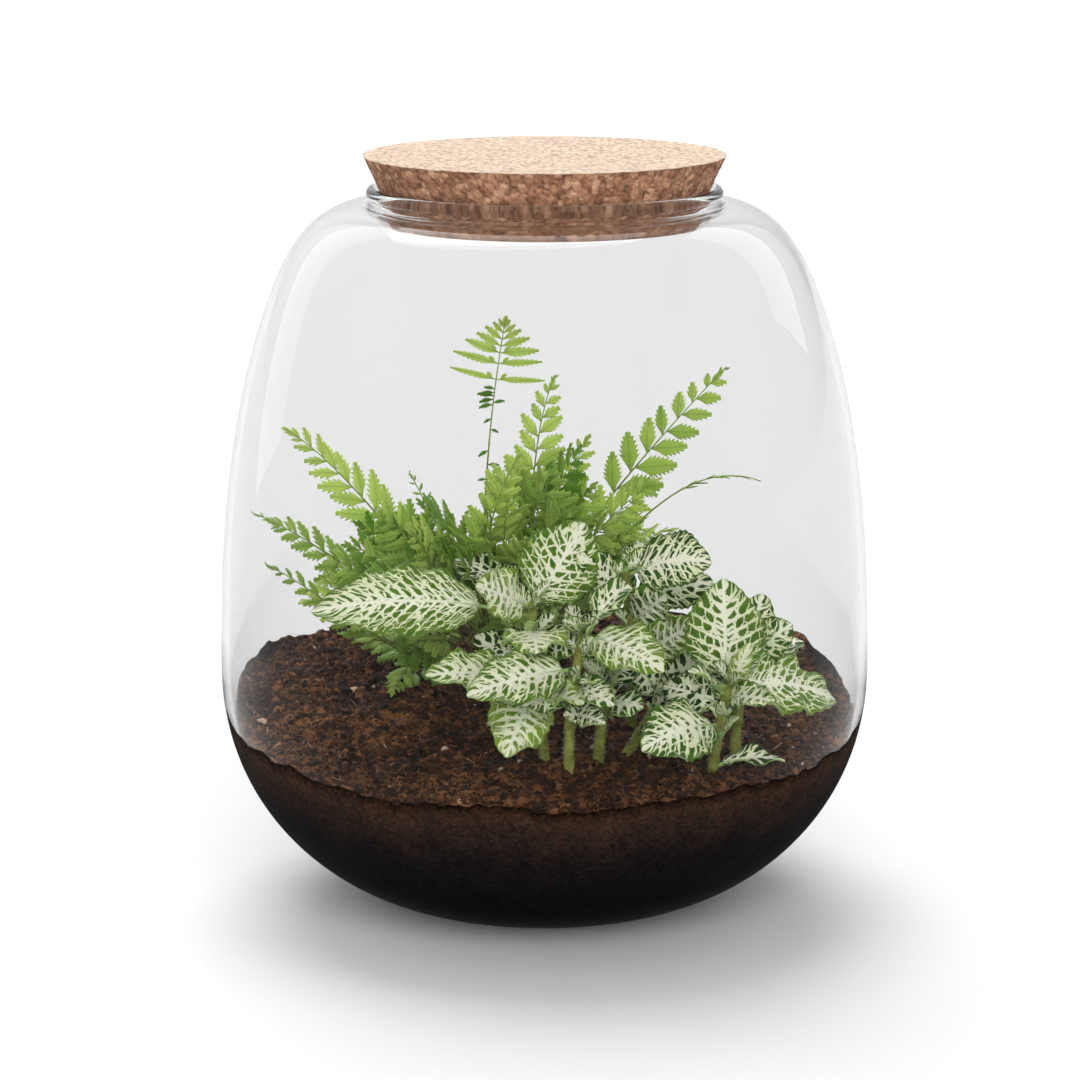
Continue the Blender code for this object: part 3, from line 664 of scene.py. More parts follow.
class TERRARIUM_OT_cork_stopper(bpy.types.Operator):
    """Cut the tapered cork stopper and crumble its granules"""

    bl_idname = "terrarium.cork_stopper"
    bl_label = "Cork stopper"

    def execute(self, context):
        settings = context.scene.terrarium_cork
        (top_radius, top), (low_radius, low) = CORK_TOP, CORK_BOTTOM
        step = 0.75
        rings = [(r, top) for r in np.arange(step, top_radius - 0.8, 0.4)]
        rounded = [(top_radius - 0.8, top), (top_radius - 0.35, top - 0.1), (top_radius - 0.08, top - 0.45)]
        drop = np.arange(0.9, top - low - 0.5, step)
        side = [(cork_radius(top - d), top - d) for d in drop]
        under = [(r, low) for r in np.arange(low_radius - 0.6, step, -1.6)]
        shape = Shape()
        lathe(shape, [(0, top)] + rings + rounded + side + under + [(0, low)], 560)
        points = shape.points[0]
        size = settings.granule / MM
        gap, tone = grains(points, size, 5)
        small_gap, small_tone = grains(points, size * 0.45, 6)
        is_top = np.clip((points[:, 2] - (top - 0.5)) / 0.4, 0, 1)
        radius = np.hypot(points[:, 0], points[:, 1])
        out = points * [1, 1, 0] / np.maximum(radius, 1)[:, None]
        depth = settings.relief / MM * (1.1 * np.exp(-gap * 6) + 0.5 * np.exp(-small_gap * 5) + 0.8 * tone)
        depth += 0.35 * np.clip(soft_noise(points, 9, 7), -1, 1)
        depth = np.clip(depth, 0, 1.4)
        away = np.where(is_top[:, None] > 0.5, [0, 0, 1.0], out)
        share = np.where(is_top > 0.5, 0.12, 1.0)
        share = np.where(points[:, 2] < low + 0.01, 0.0, share)
        shape.points[0] = points - away * (depth * share)[:, None]
        # marks: granule tone; closeness to a crevice, darkened as painted shade; share of the top face,
        # painted paler as painted light
        crevice_shade = np.minimum(gap, small_gap * 1.6 + 0.1)
        shape.marks[0] = np.stack([tone * 0.55 + small_tone * 0.35, crevice_shade, is_top], -1)
        finish_piece(shape.object("stopper", [pressed_cork(settings)]), "cork", "cork_stopper")
        return {"FINISHED"}


# ---------------------------------------------------------------- potting soil


def soil_height(x, y):
    """Height of the soil's smooth surface at a place, in millimetres."""
    height = SOIL_FRONT + SOIL_SLOPE * (y + BELLY_RADIUS)
    for mound_x, mound_y, spread, rise in SOIL_MOUNDS:
        height = height + rise * np.exp(-((x - mound_x) ** 2 + (y - mound_y) ** 2) / spread**2)
    return height + 0.8 * np.sin(x / 9.0 + 1.0) * np.cos(y / 11.0)


def soil_relief(points, clump):
    """How far the crumbly surface stands above or below its smooth height, in millimetres."""
    gap, tone = grains(points, clump, 21)
    fine_gap, fine_tone = grains(points, clump * 0.35, 22)
    broad = soft_noise(points, clump * 3.2, 23)
    ridged = 1 - np.abs(soft_noise(points, clump * 0.8, 24)) * 2
    return 2.0 * broad + 1.6 * (tone - 0.5) - 1.8 * np.exp(-gap * 5) + 1.2 * (fine_tone - 0.5) \
        - 1.0 * np.exp(-fine_gap * 5) + 0.8 * ridged


def peat_soil():
    """Moist potting soil of peat and coir: matt, dark and fibrous, red-brown where it dries on top. Against
    the glass it is packed moist and darker, and painted darker still towards the bottom as painted shade,
    down to nearly black; on top, dips in the relief are painted darker as painted shade and raised clumps
    lighter as painted light."""
    made, tree = new_material("peat_potting_soil")
    parts = stored(tree, "marks")
    place = put(tree, "ShaderNodeTexCoord")
    grit = put(tree, "ShaderNodeTexNoise", {
        "Vector": place.outputs["Object"], "Scale": 1 / 0.0018, "Detail": 6.0, "Roughness": 0.75,
    })
    crumb = put(tree, "ShaderNodeTexVoronoi", {"Vector": place.outputs["Object"], "Scale": 1 / 0.0012})
    shade = put(tree, "ShaderNodeSeparateXYZ", {0: crumb.outputs["Color"]})
    mixed = put(tree, "ShaderNodeMath", {0: shade.outputs["X"], 1: 0.32, 2: grit.outputs["Fac"]},
                operation="MULTIPLY_ADD")
    # marks X: on top it follows the relief (painted shade in dips, painted light on raised clumps); on the
    # wall it is random
    tone = put(tree, "ShaderNodeMath", {0: mixed, 1: 0.85, 2: parts["X"]},
               operation="MULTIPLY_ADD")
    dry = put(tree, "ShaderNodeValToRGB", {"Fac": tone}, stops=[
        (0.52, "#070301"), (0.68, "#26130a"), (0.84, "#52301b"), (1.0, "#96663f"),
    ])
    # moist packed soil against the glass, painted darker towards the bottom as painted shade
    wet_and_shaded = put(tree, "ShaderNodeValToRGB", {"Fac": parts["Y"]}, stops=[
        (0.0, "#4a3325"), (0.16, "#33261f"), (0.4, "#1a1517"), (0.8, "#020202"),
    ])
    speck = put(tree, "ShaderNodeValToRGB", {"Fac": mixed}, stops=[(0.4, 0.35), (0.9, 2.0)])
    speckled = put(tree, "ShaderNodeMix", {0: 0.75, 6: wet_and_shaded, 7: speck},
                   data_type="RGBA", blend_type="MULTIPLY")
    colour = put(tree, "ShaderNodeMix", {0: parts["Z"], 6: dry, 7: speckled.outputs[2]}, data_type="RGBA")
    depth = put(tree, "ShaderNodeMath", {0: crumb.outputs["Distance"], 1: -0.6, 2: grit.outputs["Fac"]},
                operation="MULTIPLY_ADD")
    bump = put(tree, "ShaderNodeBump", {"Strength": 1.0, "Distance": 0.0016, "Height": depth})
    shader = put(tree, "ShaderNodeBsdfPrincipled", {
        "Base Color": colour.outputs[2], "Roughness": 0.95, "Specular IOR Level": 0.1,
        "Normal": bump,
    })
    put(tree, "ShaderNodeOutputMaterial", {"Surface": shader})
    return made


def coir_fibre():
    """Coir and peat fibres: dry plant fibre, from dark to straw brown, each one its own shade."""
    made, tree = new_material("coir_fibre")
    parts = stored(tree, "marks")
    colour = put(tree, "ShaderNodeValToRGB", {"Fac": parts["X"]}, stops=[
        (0.0, "#120803"), (0.45, "#40230f"), (0.8, "#7c4e2c"), (0.95, "#ac7c50"), (1.0, "#dcc0a4"),
    ])
    grit = put(tree, "ShaderNodeTexNoise", {"Scale": 1 / 0.0015})
    bump = put(tree, "ShaderNodeBump", {"Strength": 0.4, "Distance": 0.0003, "Height": grit.outputs["Fac"]})
    shader = put(tree, "ShaderNodeBsdfPrincipled", {
        "Base Color": colour, "Roughness": 0.8, "Specular IOR Level": 0.25, "Normal": bump,
    })
    put(tree, "ShaderNodeOutputMaterial", {"Surface": shader})
    return made


def soil_bed(clump):
    """The bed as one closed body: dark wall against the glass, crumbly surface on top."""
    turns, wall_rings, top_rings = 540, 40, 150
    angles = np.arange(turns) * 2 * math.pi / turns
    cos, sin = np.cos(angles), np.sin(angles)
    edge_radius = np.full(turns, BELLY_RADIUS - WALL)
    for _ in range(5):
        edge_height = soil_height(edge_radius * cos, edge_radius * sin)
        rim = np.stack([cos * 122, sin * 122, cos * 0], -1)
        edge_height = edge_height + 2.2 * soft_noise(rim, 11, 31) + 0.9 * soft_noise(rim, 3.5, 32)
        edge_radius = wall_radius(edge_height) + SOIL_PRESS
    floor = WALL + 0.45
    rings, marks = [], []
    for share in np.linspace(0, 1, wall_rings) ** 1.3:
        height = floor + share * (edge_height - floor)
        radius = wall_radius(height) + SOIL_PRESS
        radius = np.full(turns, FOOT_RADIUS - 2) if share == 0 else radius
        ring = np.stack([radius * cos, radius * sin, height], -1)
        rough = np.clip(soft_noise(ring, 3.0, 33) + soft_noise(ring, 8.0, 34) - 0.8, 0, 2)
        rings.append(ring)
        # Y: how far down the wall a point is; the soil colour darkens with it as painted shade
        deep = (edge_height - height) / 62 + 0.06 * soft_noise(ring, 7, 35)
        walled = np.clip((edge_height - height) / 5, 0, 1)
        marks.append(np.stack([rough * 0.2, np.clip(deep, 0, 1), walled], -1))
    for share in np.linspace(1, 0, top_rings + 1)[1:-1]:
        radius = edge_radius * share
        x, y = radius * cos, radius * sin
        ring = np.stack([x, y, soil_height(x, y)], -1)
        relief = soil_relief(ring, clump)
        near_wall = np.clip((1 - share) * 30, 0, 1)
        smooth_edge = edge_height * (1 - near_wall) + ring[:, 2] * near_wall
        ring[:, 2] = smooth_edge + relief * near_wall
        rings.append(ring)
        # X: the top's tone follows the relief, so dips get painted shade and raised clumps painted light
        marks.append(np.stack([0.35 + 0.12 * relief, relief * 0, relief * 0], -1))
    shape = Shape()
    shape.add(np.concatenate(rings), ring_faces(len(rings), turns), 0, np.concatenate(marks))
    return shape


def scatter_places(rng, count, clump):
    """Places spread evenly over the surface, with the height of the crumbly soil there."""
    radius = np.sqrt(rng.random(count)) * SCATTER_RADIUS
    angle = rng.random(count) * 2 * math.pi
    x, y = radius * np.cos(angle), radius * np.sin(angle)
    places = np.stack([x, y, soil_height(x, y)], -1)
    places[:, 2] += soil_relief(places, clump)
    return places


def loose_bits(points, block, tone):
    """Many small closed bodies of 12 points each, held clear of the glass, each with its own shade."""
    radius = np.hypot(points[..., 0], points[..., 1])
    limit = wall_radius(points[..., 2]) - LOOSE_GAP
    points[..., :2] *= np.minimum(1, limit / np.maximum(radius, 1))[..., None]
    faces = [tuple(v + 12 * i for v in face) for i in range(len(points)) for face in block]
    marks = np.repeat(np.stack([tone, tone * 0, tone * 0], -1), 12, axis=0)
    shape = Shape()
    shape.add(points.reshape(-1, 3), faces, 0, marks)
    return shape


def soil_fibres(rng, count, clump):
    """Short curved ribbons that lie tangled on the surface."""
    places = scatter_places(rng, count, clump)
    length = 1.5 + 6.5 * rng.random(count) ** 2.2
    width = 0.14 + 0.24 * rng.random(count) ** 2
    turn = rng.random(count) * 2 * math.pi
    lift = (rng.random(count) - 0.3) * 1.2
    bend = (rng.random((count, 2)) - 0.5) * 1.6
    tone = rng.random(count) ** 1.3
    tone = np.where(rng.random(count) < 0.012, 0.99, tone * 0.92)
    steps = np.linspace(-0.5, 0.5, 4)
    points = []
    for s in steps:
        heading = turn + bend[:, 0] * s * 2
        climb = lift + bend[:, 1] * s
        across = np.stack([-np.sin(heading), np.cos(heading), 0 * heading], -1) * width[:, None] / 2
        centre = places + np.stack(
            [np.cos(turn + bend[:, 0] * s) * s, np.sin(turn + bend[:, 0] * s) * s, np.sin(climb) * s], -1
        ) * length[:, None] + np.array([0, 0, 0.35])
        upright = np.array([0, 0, 1.0]) * width[:, None] / 2
        points += [centre - across, centre + upright, centre + across]
    block = []
    for s in range(3):
        a, b = 3 * s, 3 * s + 3
        block += [(a, a + 1, b + 1, b), (a + 1, a + 2, b + 2, b + 1), (a + 2, a, b, b + 2)]
    block += [(2, 1, 0), (9, 10, 11)]
    return loose_bits(np.stack(points, 1), block, tone)


def soil_crumbs(rng, count, clump):
    """Loose irregular crumbs of many sizes."""
    places = scatter_places(rng, count, clump)
    size = 0.4 + 1.6 * rng.random(count) ** 3
    golden = (1 + math.sqrt(5)) / 2
    corners = np.array([
        (-1, golden, 0), (1, golden, 0), (-1, -golden, 0), (1, -golden, 0), (0, -1, golden), (0, 1, golden),
        (0, -1, -golden), (0, 1, -golden), (golden, 0, -1), (golden, 0, 1), (-golden, 0, -1), (-golden, 0, 1),
    ]) / math.sqrt(1 + golden**2)
    block = [
        (0, 11, 5), (0, 5, 1), (0, 1, 7), (0, 7, 10), (0, 10, 11), (1, 5, 9), (5, 11, 4), (11, 10, 2),
        (10, 7, 6), (7, 1, 8), (3, 9, 4), (3, 4, 2), (3, 2, 6), (3, 6, 8), (3, 8, 9), (4, 9, 5),
        (2, 4, 11), (6, 2, 10), (8, 6, 7), (9, 8, 1),
    ]
    wobble = 0.65 + 0.7 * rng.random((count, 12, 1))
    stretch = 0.7 + 0.7 * rng.random((count, 1, 3))
    points = places[:, None] + corners[None] * wobble * stretch * size[:, None, None]
    tone = rng.random(count) ** 1.6 * 0.75
    tone = np.where(rng.random(count) < 0.006, 1.0, tone)
    return loose_bits(points, block, tone)


class TERRARIUM_OT_potting_soil(bpy.types.Operator):
    """Fill the jar's bowl with potting soil, with fibres and crumbs on its surface"""

    bl_idname = "terrarium.potting_soil"
    bl_label = "Potting soil"

    def execute(self, context):
        settings = context.scene.terrarium_soil
        clump = settings.clump / MM
        rng = np.random.default_rng(11)
        fibre = coir_fibre()
        bed = soil_bed(clump).object("soil_bed", [peat_soil()])
        finish_piece(bed, "potting_soil", "potting_soil")
        crumbs = soil_crumbs(rng, settings.crumbs, clump)
        finish_piece(crumbs.object("soil_crumbs", [fibre], smooth=False), "potting_soil")
        fibres = soil_fibres(rng, settings.fibres, clump)
        finish_piece(fibres.object("soil_fibres", [fibre], smooth=False), "potting_soil")
        return {"FINISHED"}


# ---------------------------------------------------------------- fern


def fern_green(settings):
    """Fresh fern pinna: thin, softly shining, light yellow-green when young, with fine side veins."""
    made, tree = new_material("fern_pinna")
    parts = stored(tree, "marks")
    place = put(tree, "ShaderNodeTexCoord")
    mottle = put(tree, "ShaderNodeTexNoise", {
        "Vector": place.outputs["Object"], "Scale": 1 / 0.006, "Detail": 3.0,
    })
    tone = put(tree, "ShaderNodeMath", {0: mottle.outputs["Fac"], 1: 0.45, 2: parts["Z"]},
               operation="MULTIPLY_ADD")
    aged = put(tree, "ShaderNodeMath", {0: tone, 1: 0.22}, operation="SUBTRACT", use_clamp=True)
    ground = put(tree, "ShaderNodeMix", {
        0: aged, 6: (*settings.old, 1), 7: (*settings.young, 1),
    }, data_type="RGBA")
    stripe = put(tree, "ShaderNodeMath", {0: parts["Y"], 1: 2 * math.pi}, operation="MULTIPLY")
    wave = put(tree, "ShaderNodeMath", {0: stripe}, operation="SINE")
    side_vein = put(tree, "ShaderNodeValToRGB", {"Fac": wave}, stops=[(0.0, 1.0), (0.9, 1.0), (1.0, 0.8)])
    mid = put(tree, "ShaderNodeValToRGB", {"Fac": parts["X"]}, stops=[(0.0, 0.72), (0.10, 1.0)])
    veined = put(tree, "ShaderNodeMix", {0: 1.0, 6: ground.outputs[2], 7: side_vein},
                 data_type="RGBA", blend_type="MULTIPLY")
    colour = put(tree, "ShaderNodeMix", {0: 1.0, 6: veined.outputs[2], 7: mid},
                 data_type="RGBA", blend_type="MULTIPLY")
    bump = put(tree, "ShaderNodeBump", {"Strength": 0.35, "Distance": 0.0002, "Height": wave})
    shader = put(tree, "ShaderNodeBsdfPrincipled", {
        "Base Color": colour.outputs[2], "Roughness": 0.5, "Normal": bump,
        "Specular IOR Level": 0.35,
    })
    glow = put(tree, "ShaderNodeBsdfTranslucent", {"Color": colour.outputs[2]})
    mixed = put(tree, "ShaderNodeMixShader", {0: 0.42, 1: shader, 2: glow})
    put(tree, "ShaderNodeOutputMaterial", {"Surface": mixed})
    return made


def frond_stalk():
    """Fern stalk: wiry and smooth, purple-brown at the base turning green towards the tip."""
    made, tree = new_material("fern_stalk")
    parts = stored(tree, "marks")
    place = put(tree, "ShaderNodeTexCoord")
    streak = put(tree, "ShaderNodeTexNoise", {"Vector": place.outputs["Object"], "Scale": 1 / 0.003})
    tone = put(tree, "ShaderNodeMath", {0: streak.outputs["Fac"], 1: 0.2, 2: parts["X"]},
               operation="MULTIPLY_ADD")
    colour = put(tree, "ShaderNodeValToRGB", {"Fac": tone}, stops=[
        (0.1, "#3a2420"), (0.4, "#5f4a36"), (0.65, "#73742f"), (0.9, "#86a244"),
    ])
    bump = put(tree, "ShaderNodeBump", {"Strength": 0.3, "Distance": 0.0002, "Height": streak.outputs["Fac"]})
    shader = put(tree, "ShaderNodeBsdfPrincipled", {
        "Base Color": colour, "Roughness": 0.45, "Normal": bump,
    })
    put(tree, "ShaderNodeOutputMaterial", {"Surface": shader})
    return made


def crown_centre():
    return np.array([*CROWN_AT, float(soil_height(*CROWN_AT)) + 2.0])


def frond_line(number, count):
    """The frond's midline: out of the crown's skin, then over to its tip."""
    tip, bow, azimuth, elevation, _ = FROND_LINES[number]
    turn, lift = math.radians(azimuth), math.radians(elevation)
    out = np.array([math.cos(turn) * math.cos(lift), math.sin(turn) * math.cos(lift), math.sin(lift)])
    skin = 1 / math.hypot(math.cos(lift) / CROWN_RADIUS, math.sin(lift) / CROWN_HALF_HEIGHT)
    start, end = crown_centre() + out * (skin - 0.6), np.array(tip, float)
    reach = np.linalg.norm(end - start)
    middle = (start + end) / 2 + np.array(bow)
    return bezier([start, start + out * reach * 0.3, end + (middle - end) * 0.6, end], count)


def pinna(shape, at, out, up, length, ratio, tone, thickness, droop=0.15, cut=0.25):
    """One leaflet: a toothed blade with a midvein, from its narrow root at a point outwards. cut is how deep
    the teeth go, as a share of the half width."""
    teeth = max(4, int(length / (1.2 + 1.7 * cut)))
    shares = np.linspace(0, 1, 2 * teeth + 1)
    tooth = (np.arange(len(shares)) % 2 == 1).astype(float)
    outline = np.minimum(1, 0.2 + 2.9 * shares) * (1 - shares**2.5) ** 0.72
    half = np.maximum(outline * (1 - cut * (1 - tooth)) * length * ratio / 2, 0.06)
    across = np.array([-1, -0.5, 0, 0.5, 1])
    side = unit(np.cross(out, up))
    up = np.cross(side, out)
    sweep = (0.8 / teeth) * tooth * (1 - shares) ** 0.3 + 0.16 * ratio * (1 - shares)
    run = shares[:, None] + across[None] ** 2 * sweep[:, None]
    flat = half[:, None] * across[None]
    hump = 0.25 * (shares * (1 - shares))[:, None] * length * droop
    rise = -droop * length * run**2 - 0.16 * np.abs(flat) + hump
    grid = at + out * (run * length)[..., None] + side * flat[..., None] + up * rise[..., None]
    normals = np.broadcast_to(up, grid.shape)
    marks = np.stack([
        np.broadcast_to(np.abs(across)[None] * np.maximum(half, 0.1)[:, None] / 4, flat.shape),
        (run - 0.25 * np.abs(across)[None]) * teeth,
        np.full(flat.shape, tone),
    ], -1)
    sheet(shape, grid, normals, thickness, marks, 0, 0)


def lay_blade(shape, line, face, start, pairs, reach, ratio, lean, cut, tone, thickness, rng):
    """Pinnae in pairs along a midline, longest low down and fused at the tip."""
    along, side, normal = frames_along(line, face)
    for pair in range(pairs):
        place = (pair + 0.5) / pairs
        share = start + (1 - start) * place**0.9
        for sign in (-1, 1):
            here = min(1, share + (0.25 if sign > 0 else 0) * (1 - start) / pairs)
            at = at_shares(line, [here])[0]
            a, s, n = (at_shares(v, [here])[0] for v in (along, side, normal))
            angle = math.radians(lean + rng.uniform(-6, 6) + 18 * place**3)
            out = unit(s * sign * math.cos(angle) + a * math.sin(angle) + n * rng.uniform(-0.15, 0.25))
            length = reach * min(1, 0.85 + place) * (1 - place) ** 0.72 * rng.uniform(0.85, 1.12)
            pinna(shape, at, out, n, length, ratio * rng.uniform(0.9, 1.1), tone + rng.uniform(-0.15, 0.15),
                  thickness, rng.uniform(0.05, 0.3), cut)
    tip = line[-max(3, len(line) // 12)]
    pinna(shape, tip, unit(line[-1] - tip), normal[-1], reach * 0.25 + 2, 0.42, tone, thickness, 0.1, cut)


def side_sprigs(shape, line, face, start, count, reach, cut, tone, thickness, rng):
    """Leafy sprigs on the stalk under a frond's blade. Together they make the fern's bushy middle."""
    along, side, normal = frames_along(line, face)
    for number in range(count):
        share = start * rng.uniform(0.4, 1.0) + 0.02
        at = at_shares(line, [share])[0]
        a, s, n = (at_shares(v, [share])[0] for v in (along, side, normal))
        angle = math.radians(rng.uniform(10, 50))
        out = unit(s * (-1) ** number * math.cos(angle) + a * math.sin(angle) + n * rng.uniform(-0.3, 0.5))
        length = min(reach, 16) * rng.uniform(1.2, 1.8)
        fall = np.array([0, 0, -length * rng.uniform(0.0, 0.12)])
        late = at + out * length * 0.7 - fall * 0.3
        twig = bezier([at, at + out * length * 0.35, late, at + out * length + fall], 16)
        tube(shape, twig, np.linspace(0.3, 0.12, 16), 5, 1, np.tile([0.6, 0, 0], (16, 1)))
        looks = unit(np.array([0, -0.7, 0.6]) + rng.normal(0, 0.3, 3))
        lay_blade(shape, twig, looks, 0.2, 5, min(reach, 16) * rng.uniform(0.62, 0.85), 0.56, 42, cut,
                  tone + rng.uniform(-0.3, 0.15), thickness, rng)


class TERRARIUM_OT_fern(bpy.types.Operator):
    """Grow the fern's rootstock and fronds"""

    bl_idname = "terrarium.fern"
    bl_label = "Fern"

    def execute(self, context):
        settings = context.scene.terrarium_fern
        green, stalk = fern_green(settings), frond_stalk()
        thickness = settings.thickness / MM
        for number in FROND_LINES:
            rng = np.random.default_rng(100 + number)
            start, pairs, reach, ratio, lean, cut, sprigs, tone = FROND_BLADES[number]
            line, face = frond_line(number, 60), FROND_LINES[number][4]
            shape = Shape()
            shares = np.linspace(0, 1, 60)
            marks = np.stack([0.15 + 0.85 * shares, shares * 0, shares * 0], -1)
            tube(shape, line, 0.62 - 0.44 * shares, 7, 1, marks)
            if number == 1:
                self.tall_frond(shape, line, face, tone, rng, thickness)
            else:
                lay_blade(shape, line, face, start, pairs, reach, ratio, lean, cut, tone, thickness, rng)
                side_sprigs(shape, line, face, start, sprigs, reach, cut, tone, thickness, rng)
            piece = shape.object(f"frond_{number:02d}", [green, stalk])
            finish_piece(piece, "fern_frond", f"fern_frond_{number:02d}")
        self.young_fronds(green, stalk, thickness)
        self.rootstock(stalk)
        return {"FINISHED"}

    def tall_frond(self, shape, line, face, tone, rng, thickness):
        """Narrow toothed pairs that fuse into a triangle at the top, and small curled leaflets lower down."""
        _, side, normal = frames_along(line, face)
        for share, length, ratio, climb in TALL_FROND_PAIRS:
            at, s, n = (at_shares(v, [share])[0] for v in (line, side, normal))
            for sign in (-1, 1):
                angle = math.radians(climb + rng.uniform(-3, 3))
                out = unit(s * sign * math.cos(angle) + np.array([0, 0, math.sin(angle)]))
                pinna(shape, at, out, n, length * rng.uniform(0.93, 1.05), ratio, tone, thickness, 0.05, 0.4)
                if climb < 12:
                    root, up = at + out * 1.5, unit(out + [0, 0, 0.9])
                    pinna(shape, root, up, n, 3.2, 0.7, tone, thickness, 0.1, 0.3)
        pinna(shape, line[-3], unit(line[-1] - line[-3]), normal[-1], 5.5, 0.6, tone, thickness, 0.05, 0.3)
        for share, sign, length in TALL_FROND_CURLS:
            at = at_shares(line, [share])[0]
            out = unit(np.array([sign, rng.uniform(-0.6, 0), rng.uniform(-0.2, 0.7)]))
            pinna(shape, at, out, np.array([0, -0.6, 0.8]), length, 0.6, 0.0, thickness, 0.5, 0.35)

    def young_fronds(self, green, stalk, thickness):
        """Short jagged fronds that fill the middle of the fern."""
        rng = np.random.default_rng(90)
        shape = Shape()
        for tip in YOUNG_FROND_TIPS:
            start, tip = crown_centre() + [0, 0, 6], np.array(tip, float)
            middle = (start + tip) / 2 + [0, 0, 16]
            line = bezier([start, start + (middle - start) * 0.6, middle + (tip - middle) * 0.4, tip], 40)
            shares = np.linspace(0, 1, 40)
            marks = np.stack([0.3 + 0.7 * shares, shares * 0, shares * 0], -1)
            tube(shape, line, 0.42 - 0.3 * shares, 6, 1, marks)
            looks = unit(np.array([0, -0.75, 0.55]) + rng.normal(0, 0.25, 3))
            lay_blade(shape, line, looks, 0.58, 5, rng.uniform(16, 22), 0.5, rng.uniform(34, 46), 0.46,
                      rng.uniform(0.15, 1.1), thickness, rng)
            side_sprigs(shape, line, looks, 0.72, 1, 9, 0.42, rng.uniform(0.3, 0.8), thickness, rng)
        finish_piece(shape.object("young_fronds", [green, stalk]), "fern_frond")

    def rootstock(self, stalk):
        """A knobbly scaly knob, mostly under the soil."""
        shape = Shape()
        heights = np.linspace(1, -1, 25)
        radius, half_height = CROWN_RADIUS * 0.97, CROWN_HALF_HEIGHT * 0.97
        profile = [(math.sqrt(max(0, 1 - h * h)) * radius, h * half_height) for h in heights]
        lathe(shape, profile, 48, 0, (0.1, 0, 0))
        points = shape.points[0]
        gap, tone = grains(points, 3.0, 41)
        points = points * (1 - 0.10 * np.exp(-gap * 5) + 0.03 * (tone - 1))[:, None]
        shape.points[0] = points + crown_centre()
        finish_piece(shape.object("fern_rootstock", [stalk]), "fern_crown", "fern_crown")


# ---------------------------------------------------------------- fittonia


